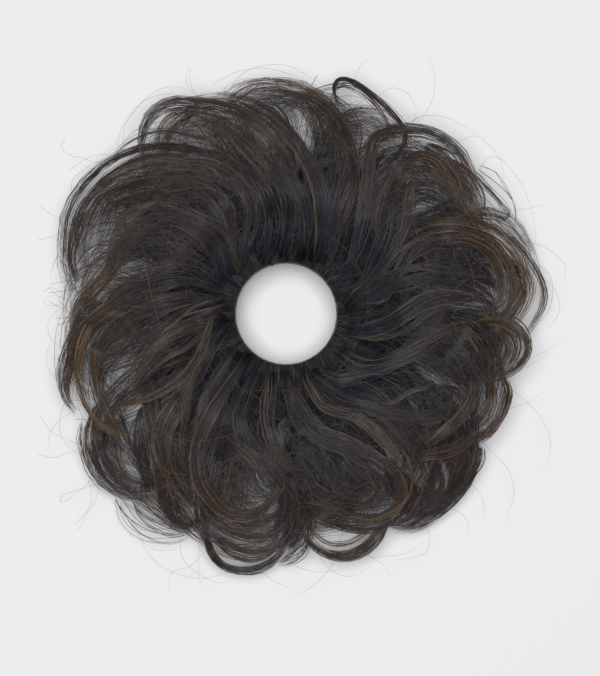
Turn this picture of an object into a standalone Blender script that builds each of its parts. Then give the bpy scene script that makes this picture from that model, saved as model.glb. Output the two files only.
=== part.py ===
"""A curly hair scrunchie lying flat: three rows of curls sewn round one elastic ring.

Metres, +Z up, +Y towards the top of the ring as it lies. The origin is on the surface
that it lies on, in the middle of the outline, and the ring stands a little beside it.
Each row is a weft: a stitched header that hugs the elastic, with its curls fused to it.
"""

import math
from collections import namedtuple

import bmesh
import bpy
from mathutils import Matrix

# Driving sizes
REACH = 0.085  # from the middle of the ring to the usual edge of the curls
HEIGHT = 0.046  # thickness of the hair where it is fullest
RING_OFFSET_X = -0.0052  # the ring's middle, from the middle of the outline
RING_OFFSET_Y = 0.0026

ELASTIC_RING_RADIUS = 0.0215  # middle of the ring to the middle of the cord
ELASTIC_CORD_RADIUS = 0.0025
ELASTIC_HEIGHT = 0.0235  # the cord's middle, above the surface

HEADER_WALL = 0.0015  # the stitched strip at the root of each weft
HEADER_FLANGE = 0.003  # how far the strip stands off, for the curls to grow from
SEAT_GAP = 0.0003  # between pieces that touch on the real one

CURL_WIDTH = 0.0150  # a curl's full width, across its run
ROOT_DEPTH = 0.0046  # a curl's thickness where it leaves the header
SOLE_SINK = 0.0013  # how far hair is pressed flat by the surface under it
WELD = 0.000005  # points nearer than this are one point

# A curl's run and section
STEM_STEPS = 6
LOOP_STEPS = 9
SECTION_SIDES = 6
STEM_PULL = 0.9  # how strongly the stem keeps its direction at both ends
CURL_TIGHTENS = 0.30  # share of the loop's radius lost by the tip
LOOP_ALONG = 0.75  # place on the run where the loop's width is read
HALF_DEPTH = 0.46  # half a curl's thickness, as a share of its row's
LEVEL_PLAY = 0.35  # how far a curl's level moves it, as a share of its row's thickness

RING_STEPS = 34
CORD_SIDES = 8
HEADER_ARC_STEPS = 3

# The mound's outline along any line from the ring outwards.
# at: share of REACH; underside, crown: shares of HEIGHT.
Mound = namedtuple("Mound", "at underside crown")
MOUND = [
    Mound(at=0.18, underside=0.40, crown=0.62),
    Mound(at=0.34, underside=0.10, crown=0.88),
    Mound(at=0.48, underside=0.00, crown=1.00),
    Mound(at=0.70, underside=0.00, crown=0.97),
    Mound(at=0.90, underside=0.00, crown=0.76),
    Mound(at=1.08, underside=0.03, crown=0.46),
]

# A curl leaves the ring at root_deg and winds round an eye at eye_deg, eye_out from the
# middle. eye_out and curl_out, its outer radius, are shares of REACH. way is 1 for
# anticlockwise. wide is a share of CURL_WIDTH, level where it lies in its own row.
Curl = namedtuple("Curl", "root_deg eye_deg eye_out curl_out turn_deg way wide level")
LOWER_CURLS = [
    Curl(3, 350, 0.80, 0.190, 300, -1, 0.90, 0.45),
    Curl(38, 24, 0.83, 0.175, 250, -1, 0.80, 0.55),
    Curl(86, 68, 0.80, 0.185, 275, -1, 0.90, 0.50),
    Curl(72, 97, 0.77, 0.220, 250, 1, 1.00, 0.42),
    Curl(112, 136, 0.76, 0.210, 250, 1, 1.00, 0.52),
    Curl(150, 178, 0.70, 0.190, 250, 1, 1.00, 0.45),
    Curl(196, 219, 0.78, 0.230, 270, 1, 1.10, 0.50),
    Curl(243, 259, 0.85, 0.210, 295, 1, 0.95, 0.42),
    Curl(298, 283, 0.79, 0.215, 290, -1, 0.95, 0.52),
    Curl(337, 322, 0.77, 0.210, 260, -1, 1.05, 0.45),
]
MIDDLE_CURLS = [
    Curl(30, 9, 0.80, 0.255, 280, -1, 1.15, 0.52),
    Curl(66, 46, 0.74, 0.250, 270, -1, 1.15, 0.45),
    Curl(70, 84, 0.77, 0.195, 290, 1, 0.90, 0.48),
    Curl(88, 119, 0.81, 0.180, 270, 1, 0.90, 0.55),
    Curl(120, 158, 0.78, 0.205, 240, 1, 1.15, 0.48),
    Curl(168, 198, 0.75, 0.200, 270, 1, 1.05, 0.52),
    Curl(222, 240, 0.81, 0.170, 250, 1, 0.90, 0.45),
    Curl(258, 271, 0.62, 0.190, 250, 1, 0.95, 0.50),
    Curl(322, 306, 0.75, 0.250, 270, -1, 1.15, 0.48),
    Curl(352, 335, 0.78, 0.190, 270, -1, 1.00, 0.55),
]
UPPER_CURLS = [
    Curl(2, 346, 0.58, 0.205, 255, -1, 1.10, 0.45),
    Curl(36, 20, 0.60, 0.190, 250, -1, 1.05, 0.52),
    Curl(58, 43, 0.62, 0.190, 270, -1, 1.05, 0.44),
    Curl(80, 68, 0.57, 0.180, 240, -1, 1.00, 0.54),
    Curl(88, 106, 0.60, 0.210, 250, 1, 1.10, 0.46),
    Curl(108, 132, 0.57, 0.220, 250, 1, 1.15, 0.53),
    Curl(132, 156, 0.60, 0.205, 250, 1, 1.10, 0.45),
    Curl(156, 180, 0.60, 0.190, 240, 1, 1.05, 0.52),
    Curl(182, 206, 0.62, 0.190, 240, 1, 1.05, 0.46),
    Curl(210, 231, 0.60, 0.190, 240, 1, 1.05, 0.54),
    Curl(240, 256, 0.66, 0.205, 285, 1, 1.05, 0.46),
    Curl(266, 274, 0.48, 0.160, 230, 1, 0.95, 0.50),
    Curl(289, 291, 0.66, 0.250, 310, -1, 1.20, 0.52),
    Curl(330, 318, 0.59, 0.205, 255, -1, 1.10, 0.46),
]

# A weft takes the share of the mound's thickness between low and high. Its header covers
# the cord's section from arc_from_deg to arc_to_deg, with its flange at flange_deg.
Weft = namedtuple("Weft", "name low high arc_from_deg arc_to_deg flange_deg curls")
WEFTS = [
    Weft("lower_weft", 0.00, 0.34, -160, -42, -68, LOWER_CURLS),
    Weft("middle_weft", 0.34, 0.67, -33, 33, 0, MIDDLE_CURLS),
    Weft("upper_weft", 0.67, 1.00, 42, 160, 68, UPPER_CURLS),
]

# Share of a curl's full width and of its full depth, along its run from root to tip.
Taper = namedtuple("Taper", "along width depth")
TAPERS = [
    Taper(along=0.00, width=0.88, depth=0.00),
    Taper(along=0.18, width=1.00, depth=0.85),
    Taper(along=0.45, width=1.00, depth=1.00),
    Taper(along=0.75, width=0.86, depth=0.92),
    Taper(along=1.00, width=0.36, depth=0.50),
]

LOWER_DARK = (0.014, 0.011, 0.010, 1.0)
MIDDLE_DARK = (0.018, 0.014, 0.012, 1.0)
UPPER_DARK = (0.024, 0.018, 0.014, 1.0)
ELASTIC_BLACK = (0.010, 0.010, 0.012, 1.0)


def eased(share):
    """0 to 1 with a level start and end."""
    return share * share * (3.0 - 2.0 * share)


def read_table(table, place, column):
    """The value of a column at a place, eased between the table's rows."""
    key = table[0]._fields[0]
    if place <= getattr(table[0], key):
        return getattr(table[0], column)
    for before, after in zip(table, table[1:]):
        start, end = getattr(before, key), getattr(after, key)
        if place <= end:
            low, high = getattr(before, column), getattr(after, column)
            return low + (high - low) * eased((place - start) / (end - start))
    return getattr(table[-1], column)


def polar(angle_deg, radius):
    angle = math.radians(angle_deg)
    return radius * math.cos(angle), radius * math.sin(angle)


def mound_height(out, share):
    """Height at a distance from the ring's middle, for a share of the mound's thickness."""
    under = read_table(MOUND, out / REACH, "underside") * HEIGHT
    crown = read_table(MOUND, out / REACH, "crown") * HEIGHT
    return under + (crown - under) * share


def header_radius():
    """Outer radius of a header's arc, in the cord's section."""
    return ELASTIC_CORD_RADIUS + SEAT_GAP + HEADER_WALL


def flange_tip(weft):
    """Distance out and height of the middle of a header's flange."""
    out, up = polar(weft.flange_deg, header_radius() + HEADER_FLANGE / 2)
    return ELASTIC_RING_RADIUS + out, ELASTIC_HEIGHT + up


def curl_run(curl, root_out):
    """Points of a curl's middle line in plan: a stem that bends into a tightening loop."""
    half_width = CURL_WIDTH * curl.wide * read_table(TAPERS, LOOP_ALONG, "width") / 2
    loop_radius = curl.curl_out * REACH - half_width
    eye_x, eye_y = polar(curl.eye_deg, curl.eye_out * REACH)
    entry_deg = curl.eye_deg - 90 * curl.way
    loop = []
    for step in range(LOOP_STEPS + 1):
        share = step / LOOP_STEPS
        turned_deg = entry_deg + curl.way * curl.turn_deg * share
        x, y = polar(turned_deg, loop_radius * (1 - CURL_TIGHTENS * share))
        loop.append((eye_x + x, eye_y + y))

    root_x, root_y = polar(curl.root_deg, root_out)
    end_x, end_y = loop[0]
    pull = STEM_PULL * math.hypot(end_x - root_x, end_y - root_y)
    leave_x, leave_y = polar(curl.root_deg, pull)
    meet_x, meet_y = polar(curl.eye_deg, pull)
    stem = []
    for step in range(STEM_STEPS):
        t = step / STEM_STEPS
        from_root = 1 - eased(t)
        to_loop = eased(t)
        leaving = t * (1 - t) * (1 - t)
        meeting = -t * t * (1 - t)
        stem.append(
            (
                from_root * root_x + to_loop * end_x + leaving * leave_x + meeting * meet_x,
                from_root * root_y + to_loop * end_y + leaving * leave_y + meeting * meet_y,
            )
        )
    return stem + loop


def shares_along(run):
    """How far along the run each of its points lies, from 0 to 1."""
    lengths = [0.0]
    for before, after in zip(run, run[1:]):
        lengths.append(lengths[-1] + math.dist(before, after))
    return [length / lengths[-1] for length in lengths]


def loft_curl(shape, weft, curl):
    """Adds one curl to a bmesh: a closed, flattened tube through a section at each point."""
    root_out, root_up = flange_tip(weft)
    run = curl_run(curl, root_out)
    along = shares_along(run)
    rings = []
    for index, (x, y) in enumerate(run):
        before, after = run[max(index - 1, 0)], run[min(index + 1, len(run) - 1)]
        length = math.dist(before, after)
        across = (-(after[1] - before[1]) / length, (after[0] - before[0]) / length)
        half_width = CURL_WIDTH * curl.wide * read_table(TAPERS, along[index], "width") / 2
        rooted = 1 - eased(min(along[index] / TAPERS[1].along, 1.0))
        ring = []
        for side in range(SECTION_SIDES):
            angle = math.tau * side / SECTION_SIDES
            sideways = half_width * math.cos(angle)
            px, py = x + across[0] * sideways, y + across[1] * sideways
            up = math.sin(angle) / math.sin(math.tau / SECTION_SIDES)
            free = free_height(weft, curl, along[index], math.hypot(px, py), up)
            held = root_up + up * ROOT_DEPTH / 2
            height = rooted * held + (1 - rooted) * free
            ring.append(shape.verts.new((px + RING_OFFSET_X, py + RING_OFFSET_Y, height)))
        rings.append(ring)
    for near, far in zip(rings, rings[1:]):
        for side in range(SECTION_SIDES):
            following = (side + 1) % SECTION_SIDES
            shape.faces.new((near[side], far[side], far[following], near[following]))
    shape.faces.new(rings[0])
    shape.faces.new(rings[-1][::-1])


def free_height(weft, curl, along, out, up):
    """Height of a section's point clear of the root, kept inside the weft's own row.

    up runs from -1 at the section's underside to 1 at its top.
    """
    room = weft.high - weft.low
    half_depth = HALF_DEPTH * room * read_table(TAPERS, along, "depth")
    middle = weft.low + room * (0.5 + LEVEL_PLAY * (curl.level - 0.5))
    height = mound_height(out, middle + up * half_depth)
    if up > 0 and weft.high < 1:
        return min(height, mound_height(out, weft.high) - SEAT_GAP / 2)
    if up < 0 and weft.low > 0:
        return max(height, mound_height(out, weft.low) + SEAT_GAP / 2)
    if up < 0:
        return height - SOLE_SINK
    return height


def header_profile(weft):
    """Outline of a header's section, as distances out and up from the cord's middle."""
    inner, outer = ELASTIC_CORD_RADIUS + SEAT_GAP, header_radius()
    arc = [
        weft.arc_from_deg + (weft.arc_to_deg - weft.arc_from_deg) * step / HEADER_ARC_STEPS
        for step in range(HEADER_ARC_STEPS + 1)
    ]
    half_flange_deg = math.degrees(HEADER_WALL / 2 / outer)
    low_deg, high_deg = weft.flange_deg - half_flange_deg, weft.flange_deg + half_flange_deg
    outline = [polar(angle, inner) for angle in arc]
    outline += [polar(angle, outer) for angle in reversed(arc) if angle > high_deg]
    outline += [polar(high_deg, outer), polar(high_deg, outer + HEADER_FLANGE)]
    outline += [polar(low_deg, outer + HEADER_FLANGE), polar(low_deg, outer)]
    outline += [polar(angle, outer) for angle in reversed(arc) if angle < low_deg]
    return outline


def collection_named(name):
    collection = bpy.data.collections.new(name)
    bpy.context.scene.collection.children.link(collection)
    return collection


def clear_scene():
    for obj in list(bpy.data.objects):
        bpy.data.objects.remove(obj)


def finish_named(name, colour, roughness):
    material = bpy.data.materials.new(name)
    material.use_nodes = True
    shader = material.node_tree.nodes["Principled BSDF"]
    shader.inputs["Base Color"].default_value = colour
    shader.inputs["Roughness"].default_value = roughness
    shader.inputs["Metallic"].default_value = 0.0
    return material


def add_elastic_ring(collection):
    """The elastic: one plain closed ring of round cord."""
    bpy.ops.mesh.primitive_torus_add(
        location=(RING_OFFSET_X, RING_OFFSET_Y, ELASTIC_HEIGHT),
        major_radius=ELASTIC_RING_RADIUS,
        minor_radius=ELASTIC_CORD_RADIUS,
        major_segments=RING_STEPS,
        minor_segments=CORD_SIDES,
    )
    ring = bpy.context.active_object
    ring.name = "elastic_ring"
    for owner in list(ring.users_collection):
        owner.objects.unlink(ring)
    collection.objects.link(ring)
    ring.data.shade_smooth()
    ring.data.materials.append(finish_named("elastic_cord", ELASTIC_BLACK, 0.7))
    return ring


def add_header(collection, weft):
    """The weft's stitched strip, turned round the ring's axis."""
    outline = header_profile(weft)
    mesh = bpy.data.meshes.new(weft.name)
    points = [(ELASTIC_RING_RADIUS + out, 0.0, up) for out, up in outline]
    edges = [(index, (index + 1) % len(points)) for index in range(len(points))]
    mesh.from_pydata(points, edges, [])
    header = bpy.data.objects.new(weft.name, mesh)
    header.location = (RING_OFFSET_X, RING_OFFSET_Y, ELASTIC_HEIGHT)
    collection.objects.link(header)
    turn = header.modifiers.new("turn", "SCREW")
    turn.axis = "Z"
    turn.angle = math.tau
    turn.steps = RING_STEPS
    turn.render_steps = RING_STEPS
    turn.use_merge_vertices = True
    turn.merge_threshold = 0.00001
    turn.use_normal_calculate = True
    return header


def add_curls(collection, weft):
    """All the curls of one weft, each a closed tube, still crossing each other."""
    shape = bmesh.new()
    for curl in weft.curls:
        loft_curl(shape, weft, curl)
    bmesh.ops.recalc_face_normals(shape, faces=shape.faces)
    mesh = bpy.data.meshes.new(weft.name + "_curls")
    shape.to_mesh(mesh)
    shape.free()
    curls = bpy.data.objects.new(mesh.name, mesh)
    hide_helper(curls)
    collection.objects.link(curls)
    return curls


def add_floor_cutter(collection):
    """A block under the surface, which presses the lowest hair flat."""
    bpy.ops.mesh.primitive_cube_add(size=1.0)
    cutter = bpy.context.active_object
    cutter.name = "surface_under_hair"
    side = 4 * REACH
    cutter.data.transform(Matrix.Diagonal((side, side, HEIGHT, 1.0)))
    cutter.location = (0.0, 0.0, -HEIGHT / 2)
    for owner in list(cutter.users_collection):
        owner.objects.unlink(cutter)
    collection.objects.link(cutter)
    hide_helper(cutter)
    return cutter


def hide_helper(obj):
    obj.hide_render = True
    obj.display_type = "WIRE"


def add_boolean(obj, name, operation, other):
    modifier = obj.modifiers.new(name, "BOOLEAN")
    modifier.operation = operation
    modifier.solver = "EXACT"
    modifier.use_self = True
    modifier.object = other


def shells_of(shape):
    """The separate closed surfaces of a bmesh, each a list of faces."""
    left, shells = set(shape.faces), []
    while left:
        shell, reached = [], [left.pop()]
        while reached:
            face = reached.pop()
            shell.append(face)
            for edge in face.edges:
                for beside in edge.link_faces:
                    if beside in left:
                        left.discard(beside)
                        reached.append(beside)
        shells.append(shell)
    return shells


def shell_volume(shell):
    """Signed volume inside a closed surface: negative for the wall of a pocket."""
    volume = 0.0
    for face in shell:
        first = face.verts[0].co
        for one, two in zip(face.verts[1:], face.verts[2:]):
            volume += first.dot(one.co.cross(two.co)) / 6
    return volume


def fill_pockets(obj):
    """Makes the fused shape a plain mesh, with the pockets sealed between curls filled."""
    graph = bpy.context.evaluated_depsgraph_get()
    fused = bpy.data.meshes.new_from_object(obj.evaluated_get(graph))
    shape = bmesh.new()
    shape.from_mesh(fused)
    bmesh.ops.triangulate(shape, faces=shape.faces)
    bmesh.ops.dissolve_degenerate(shape, edges=shape.edges, dist=WELD)
    for shell in shells_of(shape):
        if shell_volume(shell) < 0:
            bmesh.ops.delete(shape, geom=shell, context="FACES")
    shape.to_mesh(fused)
    shape.free()
    obj.modifiers.clear()
    obj.data = fused


def add_weft(parts, cutters, weft, colour):
    """A header with its curls fused to it, pressed flat where it rests."""
    header = add_header(parts, weft)
    add_boolean(header, "fuse_curls", "UNION", add_curls(cutters, weft))
    if weft.low == 0:
        add_boolean(header, "press_flat", "DIFFERENCE", add_floor_cutter(cutters))
    fill_pockets(header)
    header.data.materials.clear()
    header.data.materials.append(finish_named(weft.name + "_hair", colour, 0.45))
    return header


def main():
    clear_scene()
    parts = collection_named("curly_hair_scrunchie")
    cutters = collection_named("cutters")
    add_elastic_ring(parts)
    for weft, colour in zip(WEFTS, (LOWER_DARK, MIDDLE_DARK, UPPER_DARK)):
        add_weft(parts, cutters, weft, colour)


main()
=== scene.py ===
"""Looks of the curly hair scrunchie: its strands, headers, elastic, floor, light and camera.

Every length is in metres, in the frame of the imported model: +Z up, +Y towards the top of
the photograph. Hair grows as strands along guide lines, and Geometry Nodes turn each guide
into many thin closed strands. Most guides follow the curls of the three wefts. The locks
that show from above follow the photograph, at their own heights in the mound of hair.
"""

import logging
import math
from abc import ABC, abstractmethod
from dataclasses import asdict, dataclass, replace
from enum import Enum
from typing import ClassVar

import bmesh
import bpy
import numpy as np
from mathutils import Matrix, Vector


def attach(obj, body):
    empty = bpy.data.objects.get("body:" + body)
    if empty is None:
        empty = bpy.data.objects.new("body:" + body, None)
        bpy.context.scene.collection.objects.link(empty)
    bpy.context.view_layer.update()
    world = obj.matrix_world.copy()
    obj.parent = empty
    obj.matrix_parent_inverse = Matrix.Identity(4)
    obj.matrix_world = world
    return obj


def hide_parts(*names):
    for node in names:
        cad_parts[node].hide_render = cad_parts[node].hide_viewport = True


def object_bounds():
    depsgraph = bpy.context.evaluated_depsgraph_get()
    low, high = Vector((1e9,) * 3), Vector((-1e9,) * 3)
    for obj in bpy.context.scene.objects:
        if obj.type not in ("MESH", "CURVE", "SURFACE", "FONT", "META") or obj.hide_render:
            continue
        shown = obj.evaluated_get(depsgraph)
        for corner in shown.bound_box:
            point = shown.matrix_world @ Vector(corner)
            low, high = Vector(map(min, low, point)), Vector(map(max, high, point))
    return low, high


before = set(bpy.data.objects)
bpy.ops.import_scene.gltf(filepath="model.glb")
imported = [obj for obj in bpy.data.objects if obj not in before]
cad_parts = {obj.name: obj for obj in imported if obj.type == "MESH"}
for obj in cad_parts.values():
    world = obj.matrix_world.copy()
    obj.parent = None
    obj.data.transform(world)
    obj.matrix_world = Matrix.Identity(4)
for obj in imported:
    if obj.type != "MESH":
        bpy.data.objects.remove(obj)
cad_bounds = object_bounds()

log = logging.getLogger("scrunchie")

Colour = tuple[float, float, float]
Pixels = tuple[tuple[int, int], ...]

# The CAD model's own sizes
REACH = 0.085
HEIGHT = 0.046
RING_CENTRE = np.array((-0.0052, 0.0026))
ELASTIC_RING_RADIUS = 0.0215
ELASTIC_CORD_RADIUS = 0.0025
ELASTIC_HEIGHT = 0.0235
SEAT_GAP = 0.0003
CURL_WIDTH = 0.0150
ROOT_DEPTH = 0.0046
STEM_PULL = 0.9
CURL_TIGHTENS = 0.30
LOOP_ALONG = 0.75
HALF_DEPTH = 0.46
LEVEL_PLAY = 0.35
HEADER_WALL = 0.0015
HEADER_FLANGE = 0.003
FLANGE_DEG = 68  # how far below and above level the lower and upper flanges point

BODY = "root"

# Each group of pieces has its own run of seeds, and each piece a step of its own in it
GROUP_SEEDS = 1000
PIECE_SEEDS = 50
CURL_WISPS_SEED = 25
GROUP_WISPS_SEED = 999

# The photograph's frame, and the camera that stands for its own
PHOTO_WIDTH = 600
PHOTO_HEIGHT = 676
VIEW_HEIGHT = 0.230  # what the frame's long side takes in, at FOCUS_HEIGHT
VIEW_CENTRE = np.array((-0.0005, -0.0056))
FOCUS_HEIGHT = 0.022
LENS = 120.0
SENSOR = 36.0
CAMERA_DISTANCE = VIEW_HEIGHT / 2 / (SENSOR / 2 / LENS)

# Points in a guide line, and how far past the CAD box a loose hair may reach
CURL_POINTS = 18
LOCK_POINTS_LEAST = 9
LOCK_POINTS_MOST = 21
FULL_TURN = 4.5  # radians: a lock that winds further gets no more points
HAIR_POINTS = 8
HAIR_PLAY = 0.0001  # half sizes of the bundle along a single hair's guide
LOOSE_REACH = 0.009

# How lines are drawn and placed
CORNER_STEPS = 12  # points from one corner to the next, before the line is thinned
TURN_WEIGHT = 0.7
PLACING_ROUNDS = 3
TINY = 1e-9  # keeps divisors clear of zero

# How far out curls may reach, as a share of REACH, and the way over the ring's inner edge
CURL_REACH = 1.08
WRAP_OUT = (0.0186, 0.0187, 0.0200, 0.0222)
WRAP_UP = (0.0215, 0.0255, 0.0285, 0.0302)
WRAP_NARROWS = 0.75
WRAP_HALF_DEPTH = 0.0006


class Way(Enum):
    """Which way a curl winds, seen from above."""

    ANTICLOCKWISE = 1
    CLOCKWISE = -1


class Slot(Enum):
    """Names of material slots."""

    HAIR = "hair"
    ELASTIC = "elastic"


@dataclass(frozen=True)
class Table:
    """Rows of values over a rising place, read with an eased blend between rows."""

    places: tuple[float, ...]
    values: tuple[float, ...]

    def at(self, place: np.ndarray) -> np.ndarray:
        """Reads the table.

        Args:
            place: where to read it, in the units of the table's places.

        Returns:
            The eased value at each place.
        """
        places = np.array(self.places)
        values = np.array(self.values)
        row = np.clip(np.searchsorted(places, place, side="right") - 1, 0, len(places) - 2)
        share = np.clip((place - places[row]) / (places[row + 1] - places[row]), 0.0, 1.0)
        return values[row] + (values[row + 1] - values[row]) * eased(share)


def eased(share: np.ndarray) -> np.ndarray:
    """0 to 1 with a level start and end."""
    return share * share * (3.0 - 2.0 * share)


def polar(angle_deg: float, radius: float) -> np.ndarray:
    """A point in plan, from its angle and its distance out."""
    angle = math.radians(angle_deg)
    return np.array((radius * math.cos(angle), radius * math.sin(angle)))


MOUND_AT = (0.18, 0.34, 0.48, 0.70, 0.90, 1.08)
UNDERSIDE = Table(MOUND_AT, (0.40, 0.10, 0.00, 0.00, 0.00, 0.03))
CROWN = Table(MOUND_AT, (0.62, 0.88, 1.00, 0.97, 0.76, 0.46))
TAPER_ALONG = (0.00, 0.18, 0.45, 0.75, 1.00)
TAPER_WIDTH = Table(TAPER_ALONG, (0.88, 1.00, 1.00, 0.86, 0.36))
TAPER_DEPTH = Table(TAPER_ALONG, (0.00, 0.85, 1.00, 0.92, 0.50))


def mound_height(out: np.ndarray, share: np.ndarray | float) -> np.ndarray:
    """Height in the mound.

    Args:
        out: distance from the ring's middle.
        share: 0 at the mound's underside, 1 at its crown.

    Returns:
        The height above the surface.
    """
    under = UNDERSIDE.at(out / REACH) * HEIGHT
    crown = CROWN.at(out / REACH) * HEIGHT
    return under + (crown - under) * share


def plan_point(pixels: np.ndarray, level: np.ndarray) -> np.ndarray:
    """Finds where points of the photograph lie, at their own heights in the mound.

    Args:
        pixels: points of the photograph, one row each.
        level: the share of the mound's thickness that each lies at.

    Returns:
        The points in space, one row each.
    """
    scale = VIEW_HEIGHT / PHOTO_HEIGHT
    seen = (pixels - np.array((PHOTO_WIDTH, PHOTO_HEIGHT)) / 2) * np.array((scale, -scale))
    plan = seen + VIEW_CENTRE
    height = np.full(len(pixels), FOCUS_HEIGHT)
    for _ in range(PLACING_ROUNDS):
        height = mound_height(np.linalg.norm(plan - RING_CENTRE, axis=1), level)
        nearer = 1 - (height - FOCUS_HEIGHT) / CAMERA_DISTANCE
        plan = seen * nearer[:, None] + VIEW_CENTRE
    return np.column_stack((plan, height))


def smooth_line(corners: np.ndarray, count: int) -> np.ndarray:
    """A smooth line through points, with more of its own points where it bends.

    Args:
        corners: the points that it goes through, one row each.
        count: how many points it gets.

    Returns:
        The line's points.
    """
    padded = np.vstack((2 * corners[0] - corners[1], corners, 2 * corners[-1] - corners[-2]))
    fine = []
    for before, start, end, after in zip(padded, padded[1:], padded[2:], padded[3:]):
        t = np.linspace(0.0, 1.0, CORNER_STEPS, endpoint=False)[:, None]
        bend = 2 * start + (end - before) * t
        bend = bend + (2 * before - 5 * start + 4 * end - after) * t**2
        bend = bend + (3 * start - before - 3 * end + after) * t**3
        fine.append(bend / 2)
    return thinned_line(np.vstack((*fine, corners[-1:])), count)


def thinned_line(line: np.ndarray, count: int) -> np.ndarray:
    """The same line with fewer points, closer together where it bends."""
    steps = np.diff(line, axis=0)
    lengths = np.maximum(np.linalg.norm(steps, axis=1), TINY)
    directions = steps / lengths[:, None]
    turns = np.concatenate(([0.0], np.linalg.norm(np.diff(directions, axis=0), axis=1)))
    weight = lengths / lengths.sum() + TURN_WEIGHT * turns / max(turns.sum(), TINY)
    place = np.concatenate(([0.0], np.cumsum(weight)))
    wanted = np.linspace(0.0, place[-1], count)
    return np.column_stack([np.interp(wanted, place, column) for column in line.T])


def shares_along(points: np.ndarray) -> np.ndarray:
    """How far along a line each of its points lies, from 0 to 1."""
    steps = np.linalg.norm(np.diff(points, axis=0), axis=1)
    lengths = np.concatenate(([0.0], np.cumsum(steps)))
    return lengths / lengths[-1]


def plan_across(points: np.ndarray) -> np.ndarray:
    """The level direction square to a line at each of its points."""
    tangent = np.gradient(points[:, :2], axis=0)
    tangent /= np.maximum(np.linalg.norm(tangent, axis=1, keepdims=True), TINY)
    return np.column_stack((-tangent[:, 1], tangent[:, 0], np.zeros(len(points))))


@dataclass(frozen=True)
class Curl:
    """One curl: a stem from the ring that winds into a loop round an eye.

    eye_out and curl_out are shares of REACH, wide is a share of CURL_WIDTH, and level is
    where the curl lies in its own row, from its underside to its top.
    """

    root_deg: float
    eye_deg: float
    eye_out: float
    curl_out: float
    turn_deg: float
    way: Way
    wide: float
    level: float

    STEM_STEPS = 24
    LOOP_STEPS = 60

    def half_width(self, along: np.ndarray) -> np.ndarray:
        """Half of the curl's width at shares of its run."""
        return CURL_WIDTH * self.wide * TAPER_WIDTH.at(along) / 2

    def run(self, root_out: float, count: int) -> np.ndarray:
        """Middle line in plan, from the ring's middle.

        Args:
            root_out: distance out of the first point.
            count: how many points it gets.

        Returns:
            An array of points, one row each.
        """
        loop_radius = self.curl_out * REACH - float(self.half_width(np.array(LOOP_ALONG)))
        eye = polar(self.eye_deg, self.eye_out * REACH)
        entry_deg = self.eye_deg - 90 * self.way.value
        loop = []
        for step in range(self.LOOP_STEPS + 1):
            share = step / self.LOOP_STEPS
            turned_deg = entry_deg + self.way.value * self.turn_deg * share
            loop.append(eye + polar(turned_deg, loop_radius * (1 - CURL_TIGHTENS * share)))
        root = polar(self.root_deg, root_out)
        pull = STEM_PULL * float(np.linalg.norm(loop[0] - root))
        leave, meet = polar(self.root_deg, pull), polar(self.eye_deg, pull)
        stem = []
        for step in range(self.STEM_STEPS):
            t = step / self.STEM_STEPS
            point = (1 - eased(t)) * root + eased(t) * loop[0]
            stem.append(point + t * (1 - t) ** 2 * leave - t * t * (1 - t) * meet)
        return thinned_line(np.array(stem + loop), count)


ANTI, CLOCK = Way.ANTICLOCKWISE, Way.CLOCKWISE
LOWER_CURLS = (
    Curl(3, 350, 0.80, 0.190, 300, CLOCK, 0.90, 0.45),
    Curl(38, 24, 0.83, 0.175, 250, CLOCK, 0.80, 0.55),
    Curl(86, 68, 0.80, 0.185, 275, CLOCK, 0.90, 0.50),
    Curl(72, 97, 0.77, 0.220, 250, ANTI, 1.00, 0.42),
    Curl(112, 136, 0.76, 0.210, 250, ANTI, 1.00, 0.52),
    Curl(150, 178, 0.70, 0.190, 250, ANTI, 1.00, 0.45),
    Curl(196, 219, 0.78, 0.230, 270, ANTI, 1.10, 0.50),
    Curl(243, 259, 0.85, 0.210, 295, ANTI, 0.95, 0.42),
    Curl(298, 283, 0.79, 0.215, 290, CLOCK, 0.95, 0.52),
    Curl(337, 322, 0.77, 0.210, 260, CLOCK, 1.05, 0.45),
)
MIDDLE_CURLS = (
    Curl(30, 9, 0.80, 0.255, 280, CLOCK, 1.15, 0.52),
    Curl(66, 46, 0.74, 0.250, 270, CLOCK, 1.15, 0.45),
    Curl(70, 84, 0.77, 0.195, 290, ANTI, 0.90, 0.48),
    Curl(88, 119, 0.81, 0.180, 270, ANTI, 0.90, 0.55),
    Curl(120, 158, 0.78, 0.205, 240, ANTI, 1.15, 0.48),
    Curl(168, 198, 0.75, 0.200, 270, ANTI, 1.05, 0.52),
    Curl(222, 240, 0.81, 0.170, 250, ANTI, 0.90, 0.45),
    Curl(258, 271, 0.62, 0.190, 250, ANTI, 0.95, 0.50),
    Curl(322, 306, 0.75, 0.250, 270, CLOCK, 1.15, 0.48),
    Curl(352, 335, 0.78, 0.190, 270, CLOCK, 1.00, 0.55),
)
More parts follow.
